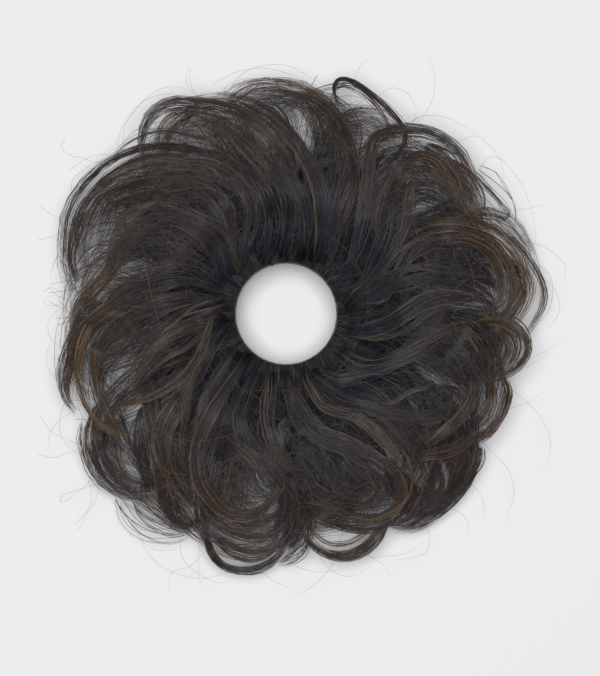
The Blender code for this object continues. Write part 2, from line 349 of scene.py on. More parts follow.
UPPER_CURLS = (
    Curl(2, 346, 0.58, 0.205, 255, CLOCK, 1.10, 0.45),
    Curl(36, 20, 0.60, 0.190, 250, CLOCK, 1.05, 0.52),
    Curl(58, 43, 0.62, 0.190, 270, CLOCK, 1.05, 0.44),
    Curl(80, 68, 0.57, 0.180, 240, CLOCK, 1.00, 0.54),
    Curl(88, 106, 0.60, 0.210, 250, ANTI, 1.10, 0.46),
    Curl(108, 132, 0.57, 0.220, 250, ANTI, 1.15, 0.53),
    Curl(132, 156, 0.60, 0.205, 250, ANTI, 1.10, 0.45),
    Curl(156, 180, 0.60, 0.190, 240, ANTI, 1.05, 0.52),
    Curl(182, 206, 0.62, 0.190, 240, ANTI, 1.05, 0.46),
    Curl(210, 231, 0.60, 0.190, 240, ANTI, 1.05, 0.54),
    Curl(240, 256, 0.66, 0.205, 285, ANTI, 1.05, 0.46),
    Curl(266, 274, 0.48, 0.160, 230, ANTI, 0.95, 0.50),
    Curl(289, 291, 0.66, 0.250, 310, CLOCK, 1.20, 0.52),
    Curl(330, 318, 0.59, 0.205, 255, CLOCK, 1.10, 0.46),
)


class Graph:
    """A node tree that is built one node at a time."""

    def __init__(self, tree: bpy.types.NodeTree) -> None:
        """Takes the tree to build in."""
        self.tree = tree

    def feed(self, socket: bpy.types.NodeSocket, value: object) -> None:
        """Gives an input another socket's output, or a plain value."""
        if isinstance(value, bpy.types.NodeSocket):
            self.tree.links.new(value, socket)
        else:
            socket.default_value = value

    def node(self, kind: str, inputs: dict[str | int, object], **settings: object) -> bpy.types.Node:
        """Adds a node.

        Args:
            kind: the node's type.
            inputs: what goes into it, a socket or a plain value, by name or by place among
                the sockets that are in use.
            **settings: the node's own settings, set before its inputs are read.

        Returns:
            The new node.
        """
        node = self.tree.nodes.new(kind)
        for name, value in settings.items():
            setattr(node, name, value)
        used = [socket for socket in node.inputs if socket.enabled]
        for key, value in inputs.items():
            self.feed(used[key] if isinstance(key, int) else next(s for s in used if s.name == key), value)
        return node

    def out(self, kind: str, inputs: dict[str | int, object], **settings: object) -> bpy.types.NodeSocket:
        """Adds a node and gives its first output that is in use."""
        node = self.node(kind, inputs, **settings)
        return next(socket for socket in node.outputs if socket.enabled)

    def math(self, operation: str, *values: object) -> bpy.types.NodeSocket:
        """A number worked out from others."""
        return self.out("ShaderNodeMath", dict(enumerate(values)), operation=operation)

    def vector(self, operation: str, *values: object) -> bpy.types.NodeSocket:
        """A vector worked out from others; SCALE takes a number too, and LENGTH gives one."""
        return self.out("ShaderNodeVectorMath", dict(enumerate(values)), operation=operation)


class ShaderGraph(Graph):
    """A material's node tree, which ends in one shader."""

    def __init__(self, name: str) -> None:
        """Starts a material of that name."""
        self.material = bpy.data.materials.new(name)
        self.material.use_nodes = True
        super().__init__(self.material.node_tree)

    def stretched(self, along: float, around: float) -> bpy.types.NodeSocket:
        """The piece's own UV map, stretched along and round it."""
        place = self.out("ShaderNodeUVMap", {}, uv_map="UVMap")
        return self.vector("MULTIPLY", place, (along, around, 1.0))

    def ramp(self, share: bpy.types.NodeSocket, stops: dict[float, Colour]) -> bpy.types.NodeSocket:
        """Reads a blend of colours.

        Args:
            share: the place to read it at.
            stops: its colours by their places, in rising order.

        Returns:
            The colour at that place.
        """
        node = self.node("ShaderNodeValToRGB", {"Fac": share})
        elements = node.color_ramp.elements
        first, *middle, last = stops
        elements[0].position, elements[1].position = first, last
        for place in middle:
            elements.new(place)
        for element, colour in zip(elements, stops.values()):
            element.color = (*colour, 1.0)
        return node.outputs["Color"]

    def raised(
        self, height: bpy.types.NodeSocket, strength: float, distance: float
    ) -> bpy.types.NodeSocket:
        """The surface's normal, bumped by a height."""
        values = {"Strength": strength, "Distance": distance, "Height": height}
        return self.out("ShaderNodeBump", values)

    def shaded(self, inputs: dict[str, object]) -> bpy.types.Material:
        """Feeds the shader, and gives the finished material."""
        shader = self.tree.nodes["Principled BSDF"]
        for name, value in inputs.items():
            self.feed(shader.inputs[name], value)
        return self.material


@dataclass(frozen=True)
class HairFinish:
    """Hair's material: each strand's tint runs from near black to gold, with painted bluish shade near the
    opening and a browner tone further out.
    """

    name: str
    shadow: Colour = (0.020, 0.021, 0.037)
    dark: Colour = (0.028, 0.028, 0.039)
    brown: Colour = (0.076, 0.060, 0.047)
    gold: Colour = (0.195, 0.148, 0.098)
    dark_at: float = 0.35
    brown_at: float = 0.70
    roughness: float = 0.45
    ior: float = 1.5
    patch_scale: float = 55.0
    patch_detail: float = 3.0
    patch_spread: float = 0.22
    # Within the first distance the tints are darkened and blued as painted shade round the opening; by the
    # second they take the hair's own browner tone.
    near: float = 0.033
    far: float = 0.072
    near_cast: Colour = (0.87, 0.91, 0.98)
    far_cast: Colour = (1.32, 1.07, 0.79)

    def material(self) -> bpy.types.Material:
        """Builds the material.

        Returns:
            A material that reads the strands' tint attribute.
        """
        graph = ShaderGraph(self.name)
        place = graph.node("ShaderNodeTexCoord", {}).outputs["Object"]
        noise = {"Vector": place, "Scale": self.patch_scale, "Detail": self.patch_detail}
        patches = graph.node("ShaderNodeTexNoise", noise).outputs["Fac"]
        spread = graph.math("MULTIPLY_ADD", patches, self.patch_spread, -self.patch_spread / 2)
        tint = graph.node("ShaderNodeAttribute", {}, attribute_name="tint").outputs["Fac"]
        stops = {0.0: self.shadow, self.dark_at: self.dark, self.brown_at: self.brown, 1.0: self.gold}
        colour = graph.ramp(graph.math("ADD", tint, spread), stops)
        # the colour gets painted bluish shade near the opening and turns browner further out
        shaded_and_browned = graph.vector("MULTIPLY", colour, self.cast(graph, place))
        return graph.shaded({"Base Color": shaded_and_browned, "Roughness": self.roughness, "IOR": self.ior})

    def cast(self, graph: ShaderGraph, place: bpy.types.NodeSocket) -> bpy.types.NodeSocket:
        """Painted bluish shade near the opening, blending to the hair's own browner tone further out.

        Args:
            graph: the material's graph.
            place: the object's own coordinates.

        Returns:
            What the colour is multiplied by.
        """
        # painted shade: darker and bluer nearer the middle, by distance in plan
        out = graph.vector("LENGTH", graph.vector("MULTIPLY", place, (1.0, 1.0, 0.0)))
        share = graph.out("ShaderNodeMapRange", {"Value": out, "From Min": self.near, "From Max": self.far})
        change = [far - near for far, near in zip(self.far_cast, self.near_cast)]
        return graph.vector("MULTIPLY_ADD", share, change, self.near_cast)


@dataclass(frozen=True)
class DenseHairShadeFinish:
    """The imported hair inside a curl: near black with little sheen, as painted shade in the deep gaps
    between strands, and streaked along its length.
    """

    name: str
    # Both colours are near black: painted shade for the deep gaps inside the curls; the streaks follow the
    # hair.
    low: Colour = (0.012, 0.012, 0.016)
    high: Colour = (0.036, 0.032, 0.034)
    low_at: float = 0.42
    high_at: float = 0.68
    streaks_along: float = 2.2
    streaks_round: float = 55.0
    streak_detail: float = 2.0
    roughness: float = 0.8
    sheen: float = 0.05
    bump: float = 0.5
    bump_distance: float = 0.0004

    def material(self) -> bpy.types.Material:
        """Builds the material.

        Returns:
            A material whose streaks follow the piece's own UV map.
        """
        graph = ShaderGraph(self.name)
        place = graph.stretched(self.streaks_along, self.streaks_round)
        noise = {"Vector": place, "Scale": 1.0, "Detail": self.streak_detail}
        streaks = graph.node("ShaderNodeTexNoise", noise).outputs["Fac"]
        return graph.shaded(
            {
                "Base Color": graph.ramp(streaks, {self.low_at: self.low, self.high_at: self.high}),
                "Roughness": self.roughness,
                "Specular IOR Level": self.sheen,
                "Normal": graph.raised(streaks, self.bump, self.bump_distance),
            }
        )


@dataclass(frozen=True)
class ThreadFinish:
    """A material with fine ribs along and round a strip or a cord, read from its own UV map."""

    name: str
    colour: Colour
    ribs_along: float
    ribs_round: float
    distortion: float = 0.4
    contrast: float = 0.5
    roughness: float = 0.75
    bump: float = 0.35
    bump_distance: float = 0.0002

    def ribs(self, graph: ShaderGraph, turn: float) -> bpy.types.NodeSocket:
        """One set of slanting ribs, whose slant a turn of -1 mirrors."""
        place = graph.stretched(self.ribs_along, self.ribs_round * turn)
        wave = {"Vector": place, "Scale": 1.0, "Distortion": self.distortion}
        bands = {"wave_type": "BANDS", "bands_direction": "DIAGONAL"}
        return graph.node("ShaderNodeTexWave", wave, **bands).outputs["Fac"]

    def material(self) -> bpy.types.Material:
        """Builds the material.

        Returns:
            A material whose two sets of slanting ribs cross, as in braid.
        """
        graph = ShaderGraph(self.name)
        weave = graph.math("MAXIMUM", self.ribs(graph, 1.0), self.ribs(graph, -1.0))
        low = tuple(value * (1 - self.contrast) for value in self.colour)
        return graph.shaded(
            {
                "Base Color": graph.ramp(weave, {0.0: low, 1.0: self.colour}),
                "Roughness": self.roughness,
                "Normal": graph.raised(weave, self.bump, self.bump_distance),
            }
        )


@dataclass
class Guide:
    """One line that strands follow, with the half sizes of their bundle along it.

    fullness is how many strands follow it, as a multiple of the style's own number, and
    ragged is the share of it within which they start.
    """

    points: np.ndarray
    across: np.ndarray
    half_width: np.ndarray
    half_depth: np.ndarray
    tint: float = 0.3
    fullness: float = 1.0
    ragged: float = 0.0


def coarse(guide: Guide) -> Guide:
    """The same guide with every other point, for hairs that are rounded afterwards."""
    return replace(
        guide,
        points=guide.points[::2],
        across=guide.across[::2],
        half_width=guide.half_width[::2],
        half_depth=guide.half_depth[::2],
    )


class Draw(Enum):
    """What each of a strand's random numbers is for."""

    TURN = 1
    DISTANCE = 2
    WAVER = 3
    WILD = 4
    TINT = 5
    END = 11
    START = 12


class ShapeGraph(Graph):
    """A Geometry Nodes tree with named inputs."""

    def __init__(self, name: str, inputs: dict[str, str]) -> None:
        """Starts a tree.

        Args:
            name: the tree's name.
            inputs: the name and kind of each input, such as Float, Int or Material.
        """
        super().__init__(bpy.data.node_groups.new(name, "GeometryNodeTree"))
        self.tree.is_modifier = True
        sockets = self.tree.interface
        sockets.new_socket("Geometry", in_out="INPUT", socket_type="NodeSocketGeometry")
        sockets.new_socket("Geometry", in_out="OUTPUT", socket_type="NodeSocketGeometry")
        self.identifiers: dict[str, str] = {}
        for key, kind in inputs.items():
            socket = sockets.new_socket(key, in_out="INPUT", socket_type="NodeSocket" + kind)
            self.identifiers[key] = socket.identifier
        self.source = self.tree.nodes.new("NodeGroupInput")
        self.result = self.tree.nodes.new("NodeGroupOutput")

    def given(self, name: str) -> bpy.types.NodeSocket:
        """The tree's own input of that name."""
        return self.source.outputs[name]

    def random(self, low: float, high: float, identity: object, draw: Draw) -> bpy.types.NodeSocket:
        """A random number for each identity, from the tree's Seed and the draw."""
        seed = self.math("ADD", self.given("Seed"), float(draw.value))
        values = {"Min": low, "Max": high, "ID": identity, "Seed": seed}
        return self.out("FunctionNodeRandomValue", values, data_type="FLOAT")

    def attribute(self, name: str, kind: str = "FLOAT") -> bpy.types.NodeSocket:
        """A stored attribute by its name."""
        return self.out("GeometryNodeInputNamedAttribute", {"Name": name}, data_type=kind)

    def store(
        self, geometry: bpy.types.NodeSocket, name: str, value: object, kind: str, domain: str
    ) -> bpy.types.NodeSocket:
        """Stores an attribute on geometry."""
        values = {"Geometry": geometry, "Name": name, "Value": value}
        return self.out("GeometryNodeStoreNamedAttribute", values, data_type=kind, domain=domain)

    def finish(self, geometry: bpy.types.NodeSocket, material: object) -> None:
        """Ends the tree in Realize Instances and Set Material."""
        real = self.out("GeometryNodeRealizeInstances", {"Geometry": geometry})
        dressed = self.out("GeometryNodeSetMaterial", {"Geometry": real, "Material": material})
        self.tree.links.new(dressed, self.result.inputs[0])

    def applied(
        self, piece: bpy.types.Object, values: dict[str, object], material: bpy.types.Material
    ) -> bpy.types.Object:
        """Runs the tree on a piece and keeps the result as its plain mesh.

        Args:
            piece: the object to work on.
            values: a value for each of the tree's inputs, but Material.
            material: the piece's finish.

        Returns:
            The same object, with its evaluated mesh and no modifiers.
        """
        modifier = piece.modifiers.new(self.tree.name, "NODES")
        modifier.node_group = self.tree
        for key, value in {**values, "Material": material}.items():
            modifier[self.identifiers[key]] = value
        bpy.context.view_layer.update()
        graph = bpy.context.evaluated_depsgraph_get()
        mesh = bpy.data.meshes.new_from_object(piece.evaluated_get(graph), depsgraph=graph)
        mesh.name = piece.name
        piece.modifiers.clear()
        piece.data = mesh
        return piece


@dataclass(frozen=True)
class StrandStyle:
    """How one kind of strand grows round its guide."""

    strands: int
    radius: float
    frizz: float = 0.0007
    frizz_scale: float = 85.0
    shortest: float = 0.80
    tint_spread: float = 0.60
    tip: float = 0.25
    spread: float = 1.0
    smoothness: int = 1


class StrandTree:
    """Geometry Nodes tree that turns guide lines into thin closed strands."""

    SIDES = 3
    LOWEST = 0.0005
    INNERMOST = 0.05  # share of the bundle's section that strands leave clear
    NOISE_SPAN = 40.0
    WAVER = 2.0
    WAVER_AT_ROOT = 0.3
    WAVER_GROWS = 1.4
    WILD_ABOVE = 0.93  # strands that draw more than this waver more than the rest
    WILDER = 3.0
    TAPER_POWER = 4.0

    def __init__(self) -> None:
        """Builds the tree."""
        numbers = ("Radius", "Frizz", "Frizz Scale", "Shortest", "Tint Spread", "Tip", "Spread")
        kinds = {name: "Float" for name in numbers}
        kinds |= {"Strands": "Int", "Smoothness": "Int", "Seed": "Int", "Material": "Material"}
        self.graph = graph = ShapeGraph("strands_along_guides", kinds)
        lines = graph.out("GeometryNodeMeshToCurve", {"Mesh": graph.given("Geometry")})
        amount = graph.math("MULTIPLY", graph.given("Strands"), graph.attribute("fullness"))
        copies = graph.out(
            "GeometryNodeDuplicateElements", {"Geometry": lines, "Amount": amount}, domain="SPLINE"
        )
        index = graph.out("GeometryNodeInputIndex", {})
        numbered = graph.store(copies, "strand", index, "INT", "CURVE")
        self.strand = graph.attribute("strand", "INT")
        placed = self.smoothed(self.spread(numbered))
        late = graph.random(0.0, 1.0, self.strand, Draw.START)
        start = graph.math("MULTIPLY", late, graph.attribute("ragged"))
        shortest = graph.given("Shortest")
        rest = graph.math("SUBTRACT", 1.0, shortest)
        end = graph.math("MULTIPLY_ADD", graph.random(0.0, 1.0, self.strand, Draw.END), rest, shortest)
        ends = {"Curve": placed, "Start": start, "End": end}
        cut = graph.out("GeometryNodeTrimCurve", ends, mode="FACTOR")
        graph.finish(self.thickened(self.tinted(cut)), graph.given("Material"))

    def spread(self, geometry: bpy.types.NodeSocket) -> bpy.types.NodeSocket:
        """Moves each strand to its own place in the bundle, wavers it and keeps it off the floor."""
        graph = self.graph
        turn = graph.random(0.0, math.tau, self.strand, Draw.TURN)
        distance = graph.math("SQRT", graph.random(self.INNERMOST, 1.0, self.strand, Draw.DISTANCE))
        reach = graph.math("MULTIPLY", distance, graph.given("Spread"))
        sideways = graph.math("MULTIPLY", graph.math("COSINE", turn), reach)
        upwards = graph.math("MULTIPLY", graph.math("SINE", turn), reach)
        width = graph.math("MULTIPLY", sideways, graph.attribute("half_width"))
        depth = graph.math("MULTIPLY", upwards, graph.attribute("half_depth"))
        aside = graph.vector("SCALE", graph.attribute("across", "FLOAT_VECTOR"), width)
        up = graph.out("ShaderNodeCombineXYZ", {"Z": depth})
        offset = graph.vector("ADD", graph.vector("ADD", aside, up), self.waver())
        moved = graph.vector("ADD", graph.out("GeometryNodeInputPosition", {}), offset)
        parts = graph.node("ShaderNodeSeparateXYZ", {"Vector": moved}).outputs
        height = graph.math("MAXIMUM", parts["Z"], self.LOWEST)
        clear = graph.out("ShaderNodeCombineXYZ", {"X": parts["X"], "Y": parts["Y"], "Z": height})
        return graph.out("GeometryNodeSetPosition", {"Geometry": geometry, "Position": clear})

    def smoothed(self, geometry: bpy.types.NodeSocket) -> bpy.types.NodeSocket:
        """Rounds the strands' corners, with Smoothness points for each of the guide's."""
        graph = self.graph
        bent = graph.out("GeometryNodeCurveSplineType", {"Curve": geometry}, spline_type="CATMULL_ROM")
        resolution = {"Geometry": bent, "Resolution": graph.given("Smoothness")}
        fine = graph.out("GeometryNodeSetSplineResolution", resolution)
        return graph.out("GeometryNodeResampleCurve", {"Curve": fine}, mode="EVALUATED")

    def waver(self) -> bpy.types.NodeSocket:
        """A small offset, different for each strand, that grows towards its tip."""
        graph = self.graph
        noise = graph.node(
            "ShaderNodeTexNoise",
            {
                "Vector": graph.out("GeometryNodeInputPosition", {}),
                "W": graph.random(0.0, self.NOISE_SPAN, self.strand, Draw.WAVER),
                "Scale": graph.given("Frizz Scale"),
                "Detail": 1.0,
            },
            noise_dimensions="4D",
        )
        centred = graph.vector("SUBTRACT", noise.outputs["Color"], (0.5, 0.5, 0.5))
        drawn = graph.random(0.0, 1.0, self.strand, Draw.WILD)
        wild = graph.math("GREATER_THAN", drawn, self.WILD_ABOVE)
        times = graph.math("MULTIPLY_ADD", wild, self.WILDER, self.WAVER)
        share = graph.node("GeometryNodeSplineParameter", {}).outputs["Factor"]
        growth = graph.math("MULTIPLY_ADD", share, self.WAVER_GROWS, self.WAVER_AT_ROOT)
        grown = graph.math("MULTIPLY", times, growth)
        return graph.vector("SCALE", centred, graph.math("MULTIPLY", graph.given("Frizz"), grown))

    def tinted(self, geometry: bpy.types.NodeSocket) -> bpy.types.NodeSocket:
        """Stores each strand's tint: its lock's own, give or take."""
        graph = self.graph
        unit = graph.random(-1.0, 1.0, self.strand, Draw.TINT)
        uneven = graph.math("MULTIPLY", unit, graph.math("ABSOLUTE", unit))
        own = graph.math("MULTIPLY_ADD", uneven, graph.given("Tint Spread"), graph.attribute("lock_tint"))
        return graph.store(geometry, "tint", own, "FLOAT", "POINT")

    def thickened(self, geometry: bpy.types.NodeSocket) -> bpy.types.NodeSocket:
        """Gives each strand its round, tapering body."""
        graph = self.graph
        share = graph.node("GeometryNodeSplineParameter", {}).outputs["Factor"]
        lost = graph.math("SUBTRACT", 1.0, graph.given("Tip"))
        taper = graph.math("POWER", share, self.TAPER_POWER)
        size = graph.math("SUBTRACT", 1.0, graph.math("MULTIPLY", taper, lost))
        profile = graph.out(
            "GeometryNodeCurvePrimitiveCircle", {"Resolution": self.SIDES, "Radius": graph.given("Radius")}
        )
        mesh = graph.out(
            "GeometryNodeCurveToMesh",
            {"Curve": geometry, "Profile Curve": profile, "Scale": size, "Fill Caps": True},
        )
        return graph.out("GeometryNodeSetShadeSmooth", {"Geometry": mesh})

    def grow(
        self, name: str, guides: list[Guide], style: StrandStyle, material: bpy.types.Material, seed: int
    ) -> bpy.types.Object:
        """Grows strands along guides as one plain mesh.

        Args:
            name: the piece's name.
            guides: the lines to follow.
            style: how the strands spread and taper.
            material: their finish.
            seed: sets this piece's strands apart from another's.

        Returns:
            The piece, with no modifier left.
        """
        values = {name.replace("_", " ").title(): value for name, value in asdict(style).items()}
        return self.graph.applied(guide_object(name, guides), {**values, "Seed": seed}, material)


def new_piece(name: str, mesh: bpy.types.Mesh) -> bpy.types.Object:
    """An object of that mesh, in the scene."""
    piece = bpy.data.objects.new(name, mesh)
    bpy.context.scene.collection.objects.link(piece)
    return piece


def guide_object(name: str, guides: list[Guide]) -> bpy.types.Object:
    """Makes one mesh of edges from guides, with their sizes stored at its points."""
    points = np.concatenate([guide.points for guide in guides])
    edges = []
    first = 0
    for guide in guides:
        count = len(guide.points)
        edges += [(first + step, first + step + 1) for step in range(count - 1)]
        first += count
    mesh = bpy.data.meshes.new(name)
    mesh.from_pydata(points.tolist(), edges, [])
    columns = {
        "half_width": [guide.half_width for guide in guides],
        "half_depth": [guide.half_depth for guide in guides],
        "lock_tint": [np.full(len(guide.points), guide.tint) for guide in guides],
        "fullness": [np.full(len(guide.points), guide.fullness) for guide in guides],
        "ragged": [np.full(len(guide.points), guide.ragged) for guide in guides],
    }
    for key, rows in columns.items():
        values = np.concatenate(rows).astype(np.float32)
        mesh.attributes.new(key, "FLOAT", "POINT").data.foreach_set("value", values)
    across = np.concatenate([guide.across for guide in guides]).astype(np.float32)
    mesh.attributes.new("across", "FLOAT_VECTOR", "POINT").data.foreach_set("vector", across.ravel())
    return new_piece(name, mesh)


def dressed(piece: bpy.types.Object, slot: Slot, *nodes: str) -> bpy.types.Object:
    """Makes a finished piece ride on the part and stand for the nodes that it replaces."""
    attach(piece, BODY)
    if nodes:
        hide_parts(*nodes)
    piece.data.calc_loop_triangles()
    log.info("%s: %d triangles", piece.name, len(piece.data.loop_triangles))
    return piece


def new_tube(
    name: str, rings: np.ndarray, finish: bpy.types.Material, closed: bool
) -> bpy.types.Object:
    """Makes a tube through rings of points, with a UV map of shares along and round it.

    Args:
        name: the piece's name.
        rings: an array of rings, points and places; each ring runs the same way round.
        finish: its material.
        closed: whether the last ring meets the first, or both ends are capped.

    Returns:
        The piece, smooth shaded, with its faces outwards.
    """
    count, sides = rings.shape[:2]
    faces, corners = [], []
    for ring in range(count if closed else count - 1):
        near, far = ring * sides, (ring + 1) % count * sides
        for side in range(sides):
            beside = (side + 1) % sides
            faces.append((near + side, far + side, far + beside, near + beside))
            corners += [
                (ring / count, side / sides), ((ring + 1) / count, side / sides),
                ((ring + 1) / count, (side + 1) / sides), (ring / count, (side + 1) / sides),
            ]
    if not closed:
        faces += [tuple(range(sides)), tuple(range(count * sides - 1, (count - 1) * sides - 1, -1))]
        corners += [(0.0, side / sides) for side in range(sides)]
        corners += [(1.0, 1 - side / sides) for side in range(sides)]
    mesh = bpy.data.meshes.new(name)
    mesh.from_pydata(rings.reshape(-1, 3).tolist(), [], faces)
    mesh.uv_layers.new(name="UVMap").data.foreach_set("uv", np.array(corners, np.float32).ravel())
    shape = bmesh.new()
    shape.from_mesh(mesh)
    bmesh.ops.recalc_face_normals(shape, faces=shape.faces)
    shape.to_mesh(mesh)
    shape.free()
    mesh.shade_smooth()
    mesh.materials.append(finish)
    return new_piece(name, mesh)


@dataclass
class Weft:
    """One row of curls: a piece of strands for each curl, over a dense core whose near-black finish is
    painted shade.
    """

    name: str
    low: float
    high: float
    flange_deg: float
    curls: tuple[Curl, ...]
    tree: StrandTree
    finish: bpy.types.Material
    tint: float
    seed: int
    style: StrandStyle
    wisps: StrandStyle = StrandStyle(
        strands=1, radius=0.000045, frizz=0.0008, frizz_scale=24.0, spread=1.3, shortest=0.6, smoothness=4
    )
    locks: int = 6
    wraps_ring: bool = False

    LOCK_SHARE = 0.42
    CORE_ALONG = 0.42
    CORE_SIZE = 0.60
    CORE_TIP = 0.06
    CORE_FULL = 0.35
    CORE_LOWEST = 0.0004
    CORE_SIDES = 10
    ANGLE_PLAY_DEG = 3.0
    OUT_PLAY = 0.05
    SIZE_PLAY = 0.10
    WINDS = (0.75, 1.15)
    WAVES = (0.8, 1.6)
    DRIFT = 0.3
    GATHERS_FROM = 0.6
    GATHERS_BY = 0.5
    OVERLAP_WIDE = 1.15
    OVERLAP_DEEP = 1.1
    TINT_PLAY = 0.08

    def flange_tip(self) -> tuple[float, float]:
        """Distance out and height where the curls leave the header."""
        radius = ELASTIC_CORD_RADIUS + SEAT_GAP + HEADER_WALL + HEADER_FLANGE / 2
        out, up = polar(self.flange_deg, radius)
        return ELASTIC_RING_RADIUS + float(out), ELASTIC_HEIGHT + float(up)

    def height(
        self, curl: Curl, along: np.ndarray, out: np.ndarray, up: np.ndarray | float
    ) -> np.ndarray:
        """Height of points in a curl.

        Args:
            curl: the curl that they are in.
            along: their shares of its run.
            out: their distances from the ring's middle.
            up: -1 at the curl's underside, 1 at its top.

        Returns:
            Their heights, eased to the header's flange at the root.
        """
        room = self.high - self.low
        half_depth = HALF_DEPTH * room * TAPER_DEPTH.at(along)
        middle = self.low + room * (0.5 + LEVEL_PLAY * (curl.level - 0.5))
        free = mound_height(out, middle + up * half_depth)
        held = self.flange_tip()[1] + up * ROOT_DEPTH / 2
        rooted = 1 - eased(np.clip(along / TAPER_ALONG[1], 0, 1))
        return rooted * held + (1 - rooted) * free

    def lock(self, curl: Curl, place: float, lift: float, random: np.random.Generator) -> Guide:
        """One lock of a curl, slightly unlike its neighbours.

        Args:
            curl: the curl that it belongs to.
            place: where it lies across the curl, from -1 to 1.
            lift: where it lies in the curl's depth, from -1 to 1.
            random: draws its small differences.

        Returns:
            Its guide.
        """
        own = replace(
            curl,
            root_deg=curl.root_deg + random.normal(0, self.ANGLE_PLAY_DEG),
            eye_deg=curl.eye_deg + random.normal(0, self.ANGLE_PLAY_DEG),
            eye_out=curl.eye_out * (1 - abs(random.normal(0, self.OUT_PLAY))),
            curl_out=curl.curl_out * (1 - abs(random.normal(0, self.SIZE_PLAY))),
            turn_deg=curl.turn_deg * random.uniform(*self.WINDS),
        )
        line = own.run(self.flange_tip()[0], CURL_POINTS)
        along = shares_along(line)
        across = plan_across(line)
        phase, waves = random.uniform(0, math.tau), random.uniform(*self.WAVES)
        drift = place + self.DRIFT * np.sin(math.tau * waves * along + phase)
        aside = drift * (1 - self.LOCK_SHARE) * curl.half_width(along)
        line = line + across[:, :2] * aside[:, None]
        out = np.minimum(np.linalg.norm(line, axis=1), CURL_REACH * REACH)
        height = self.height(curl, along, out, lift * (1 - self.LOCK_SHARE))
        thickness = mound_height(out, self.high) - mound_height(out, self.low)
        half_depth = np.maximum(thickness * HALF_DEPTH * TAPER_DEPTH.at(along), ROOT_DEPTH / 2)
        gathered = eased(np.clip((along - self.GATHERS_FROM) / (1 - self.GATHERS_FROM), 0, 1))
        size = self.LOCK_SHARE * (1 - self.GATHERS_BY * gathered)
        return Guide(
            points=np.column_stack((line + RING_CENTRE, height)),
            across=across,
            half_width=curl.half_width(along) * size * self.OVERLAP_WIDE,
            half_depth=half_depth * size * self.OVERLAP_DEEP,
            tint=self.tint + random.normal(0, self.TINT_PLAY),
        )

    def guides(self, curl: Curl, random: np.random.Generator) -> list[Guide]:
        """The locks of one curl, laid round its section."""
        locks = []
        for index in range(self.locks):
            angle = math.pi * (index + 0.5) / self.locks
            side = -1 if index % 3 == 2 else 1
            lock = self.lock(curl, math.cos(angle), side * math.sin(angle), random)
            locks.append(wrapped(lock) if self.wraps_ring else lock)
        return locks

    def core(self, curl: Curl) -> np.ndarray:
        """Rings of the dense inside of a curl, from the header to where the curl opens out."""
        line = curl.run(self.flange_tip()[0], CURL_POINTS * 2)
        along = shares_along(line)
        line, along = line[along < self.CORE_ALONG], along[along < self.CORE_ALONG]
        across = plan_across(line)[:, :2]
        tapered = np.clip((along / self.CORE_ALONG - self.CORE_FULL) / (1 - self.CORE_FULL), 0, 1)
        ending = 1 - eased(tapered) * (1 - self.CORE_TIP)
        sides = []
        for side in range(self.CORE_SIDES):
            angle = math.tau * side / self.CORE_SIDES
            width = curl.half_width(along) * ending * self.CORE_SIZE * math.cos(angle)
            plan = line + across * width[:, None]
            up = self.CORE_SIZE * ending * math.sin(angle)
            height = self.height(curl, along, np.linalg.norm(plan, axis=1), up)
            sides.append(np.column_stack((plan + RING_CENTRE, np.maximum(height, self.CORE_LOWEST))))
        return np.stack(sides, axis=1)

    def build(self, core_shade_finish: bpy.types.Material) -> None:
        """Builds a piece of strands, one of wisps and a core, near black as painted shade, for each curl."""
        for index, curl in enumerate(self.curls):
            guides = self.guides(curl, np.random.default_rng(GROUP_SEEDS * self.seed + index))
            seed = GROUP_SEEDS * self.seed + PIECE_SEEDS * index
            name = f"{self.name}_curl_{index + 1:02d}"
            dressed(self.tree.grow(name, guides, self.style, self.finish, seed), Slot.HAIR, self.name)
            loose = [coarse(guide) for guide in guides]
            wisps_seed = seed + CURL_WISPS_SEED
            dressed(self.tree.grow(name + "_wisps", loose, self.wisps, self.finish, wisps_seed), Slot.HAIR)
            dressed(new_tube(name + "_core", self.core(curl), core_shade_finish, closed=False), Slot.HAIR)


def wrapped(guide: Guide) -> Guide:
    """Starts a guide at the opening's edge, so that it bends over the ring.

    Args:
        guide: a guide that starts near the top header.

    Returns:
        The same guide with a few points before its first.
    """
    root = guide.points[0, :2] - RING_CENTRE
    direction = root / np.linalg.norm(root)
    start = np.column_stack((RING_CENTRE + np.outer(WRAP_OUT, direction), WRAP_UP))
    count = len(start)
    square = np.array((-direction[1], direction[0], 0.0))
    widths = guide.half_width[0] * np.linspace(WRAP_NARROWS, 1.0, count)
    return replace(
        guide,
        points=np.vstack((start, guide.points)),
        across=np.vstack((np.tile(square, (count, 1)), guide.across)),
        half_width=np.concatenate((widths, guide.half_width)),
        half_depth=np.concatenate((np.full(count, WRAP_HALF_DEPTH), guide.half_depth)),
    )


# A laid lock: its half width by shares of its length, and how much its parts differ
LOCK_HALF_WIDTH = 0.0040
LOCK_SHAPE = Table((0.0, 0.25, 0.65, 1.0), (0.60, 1.00, 0.95, 0.35))
LOOSE_LOCK_SHAPE = Table((0.0, 0.25, 0.65, 1.0), (0.45, 1.00, 0.95, 0.35))
LOCK_FLATNESS = 0.55
LOCK_PLAY = 0.02
LOCK_WAVES = (0.6, 1.3)
LOCK_DRIFT = 0.30
LOCK_TINT_PLAY = 0.06
TRESS_OVERLAP = 1.35
FINEST_HALF_WIDTH = 0.00025

# Its ends sink into the mound, the root only where it starts further out than the ring
ROOTED_WITHIN = 0.034
LOCK_END = 0.14
TIP_TUCK = 0.10
ROOT_END = 0.26
ROOT_TUCK = 0.24


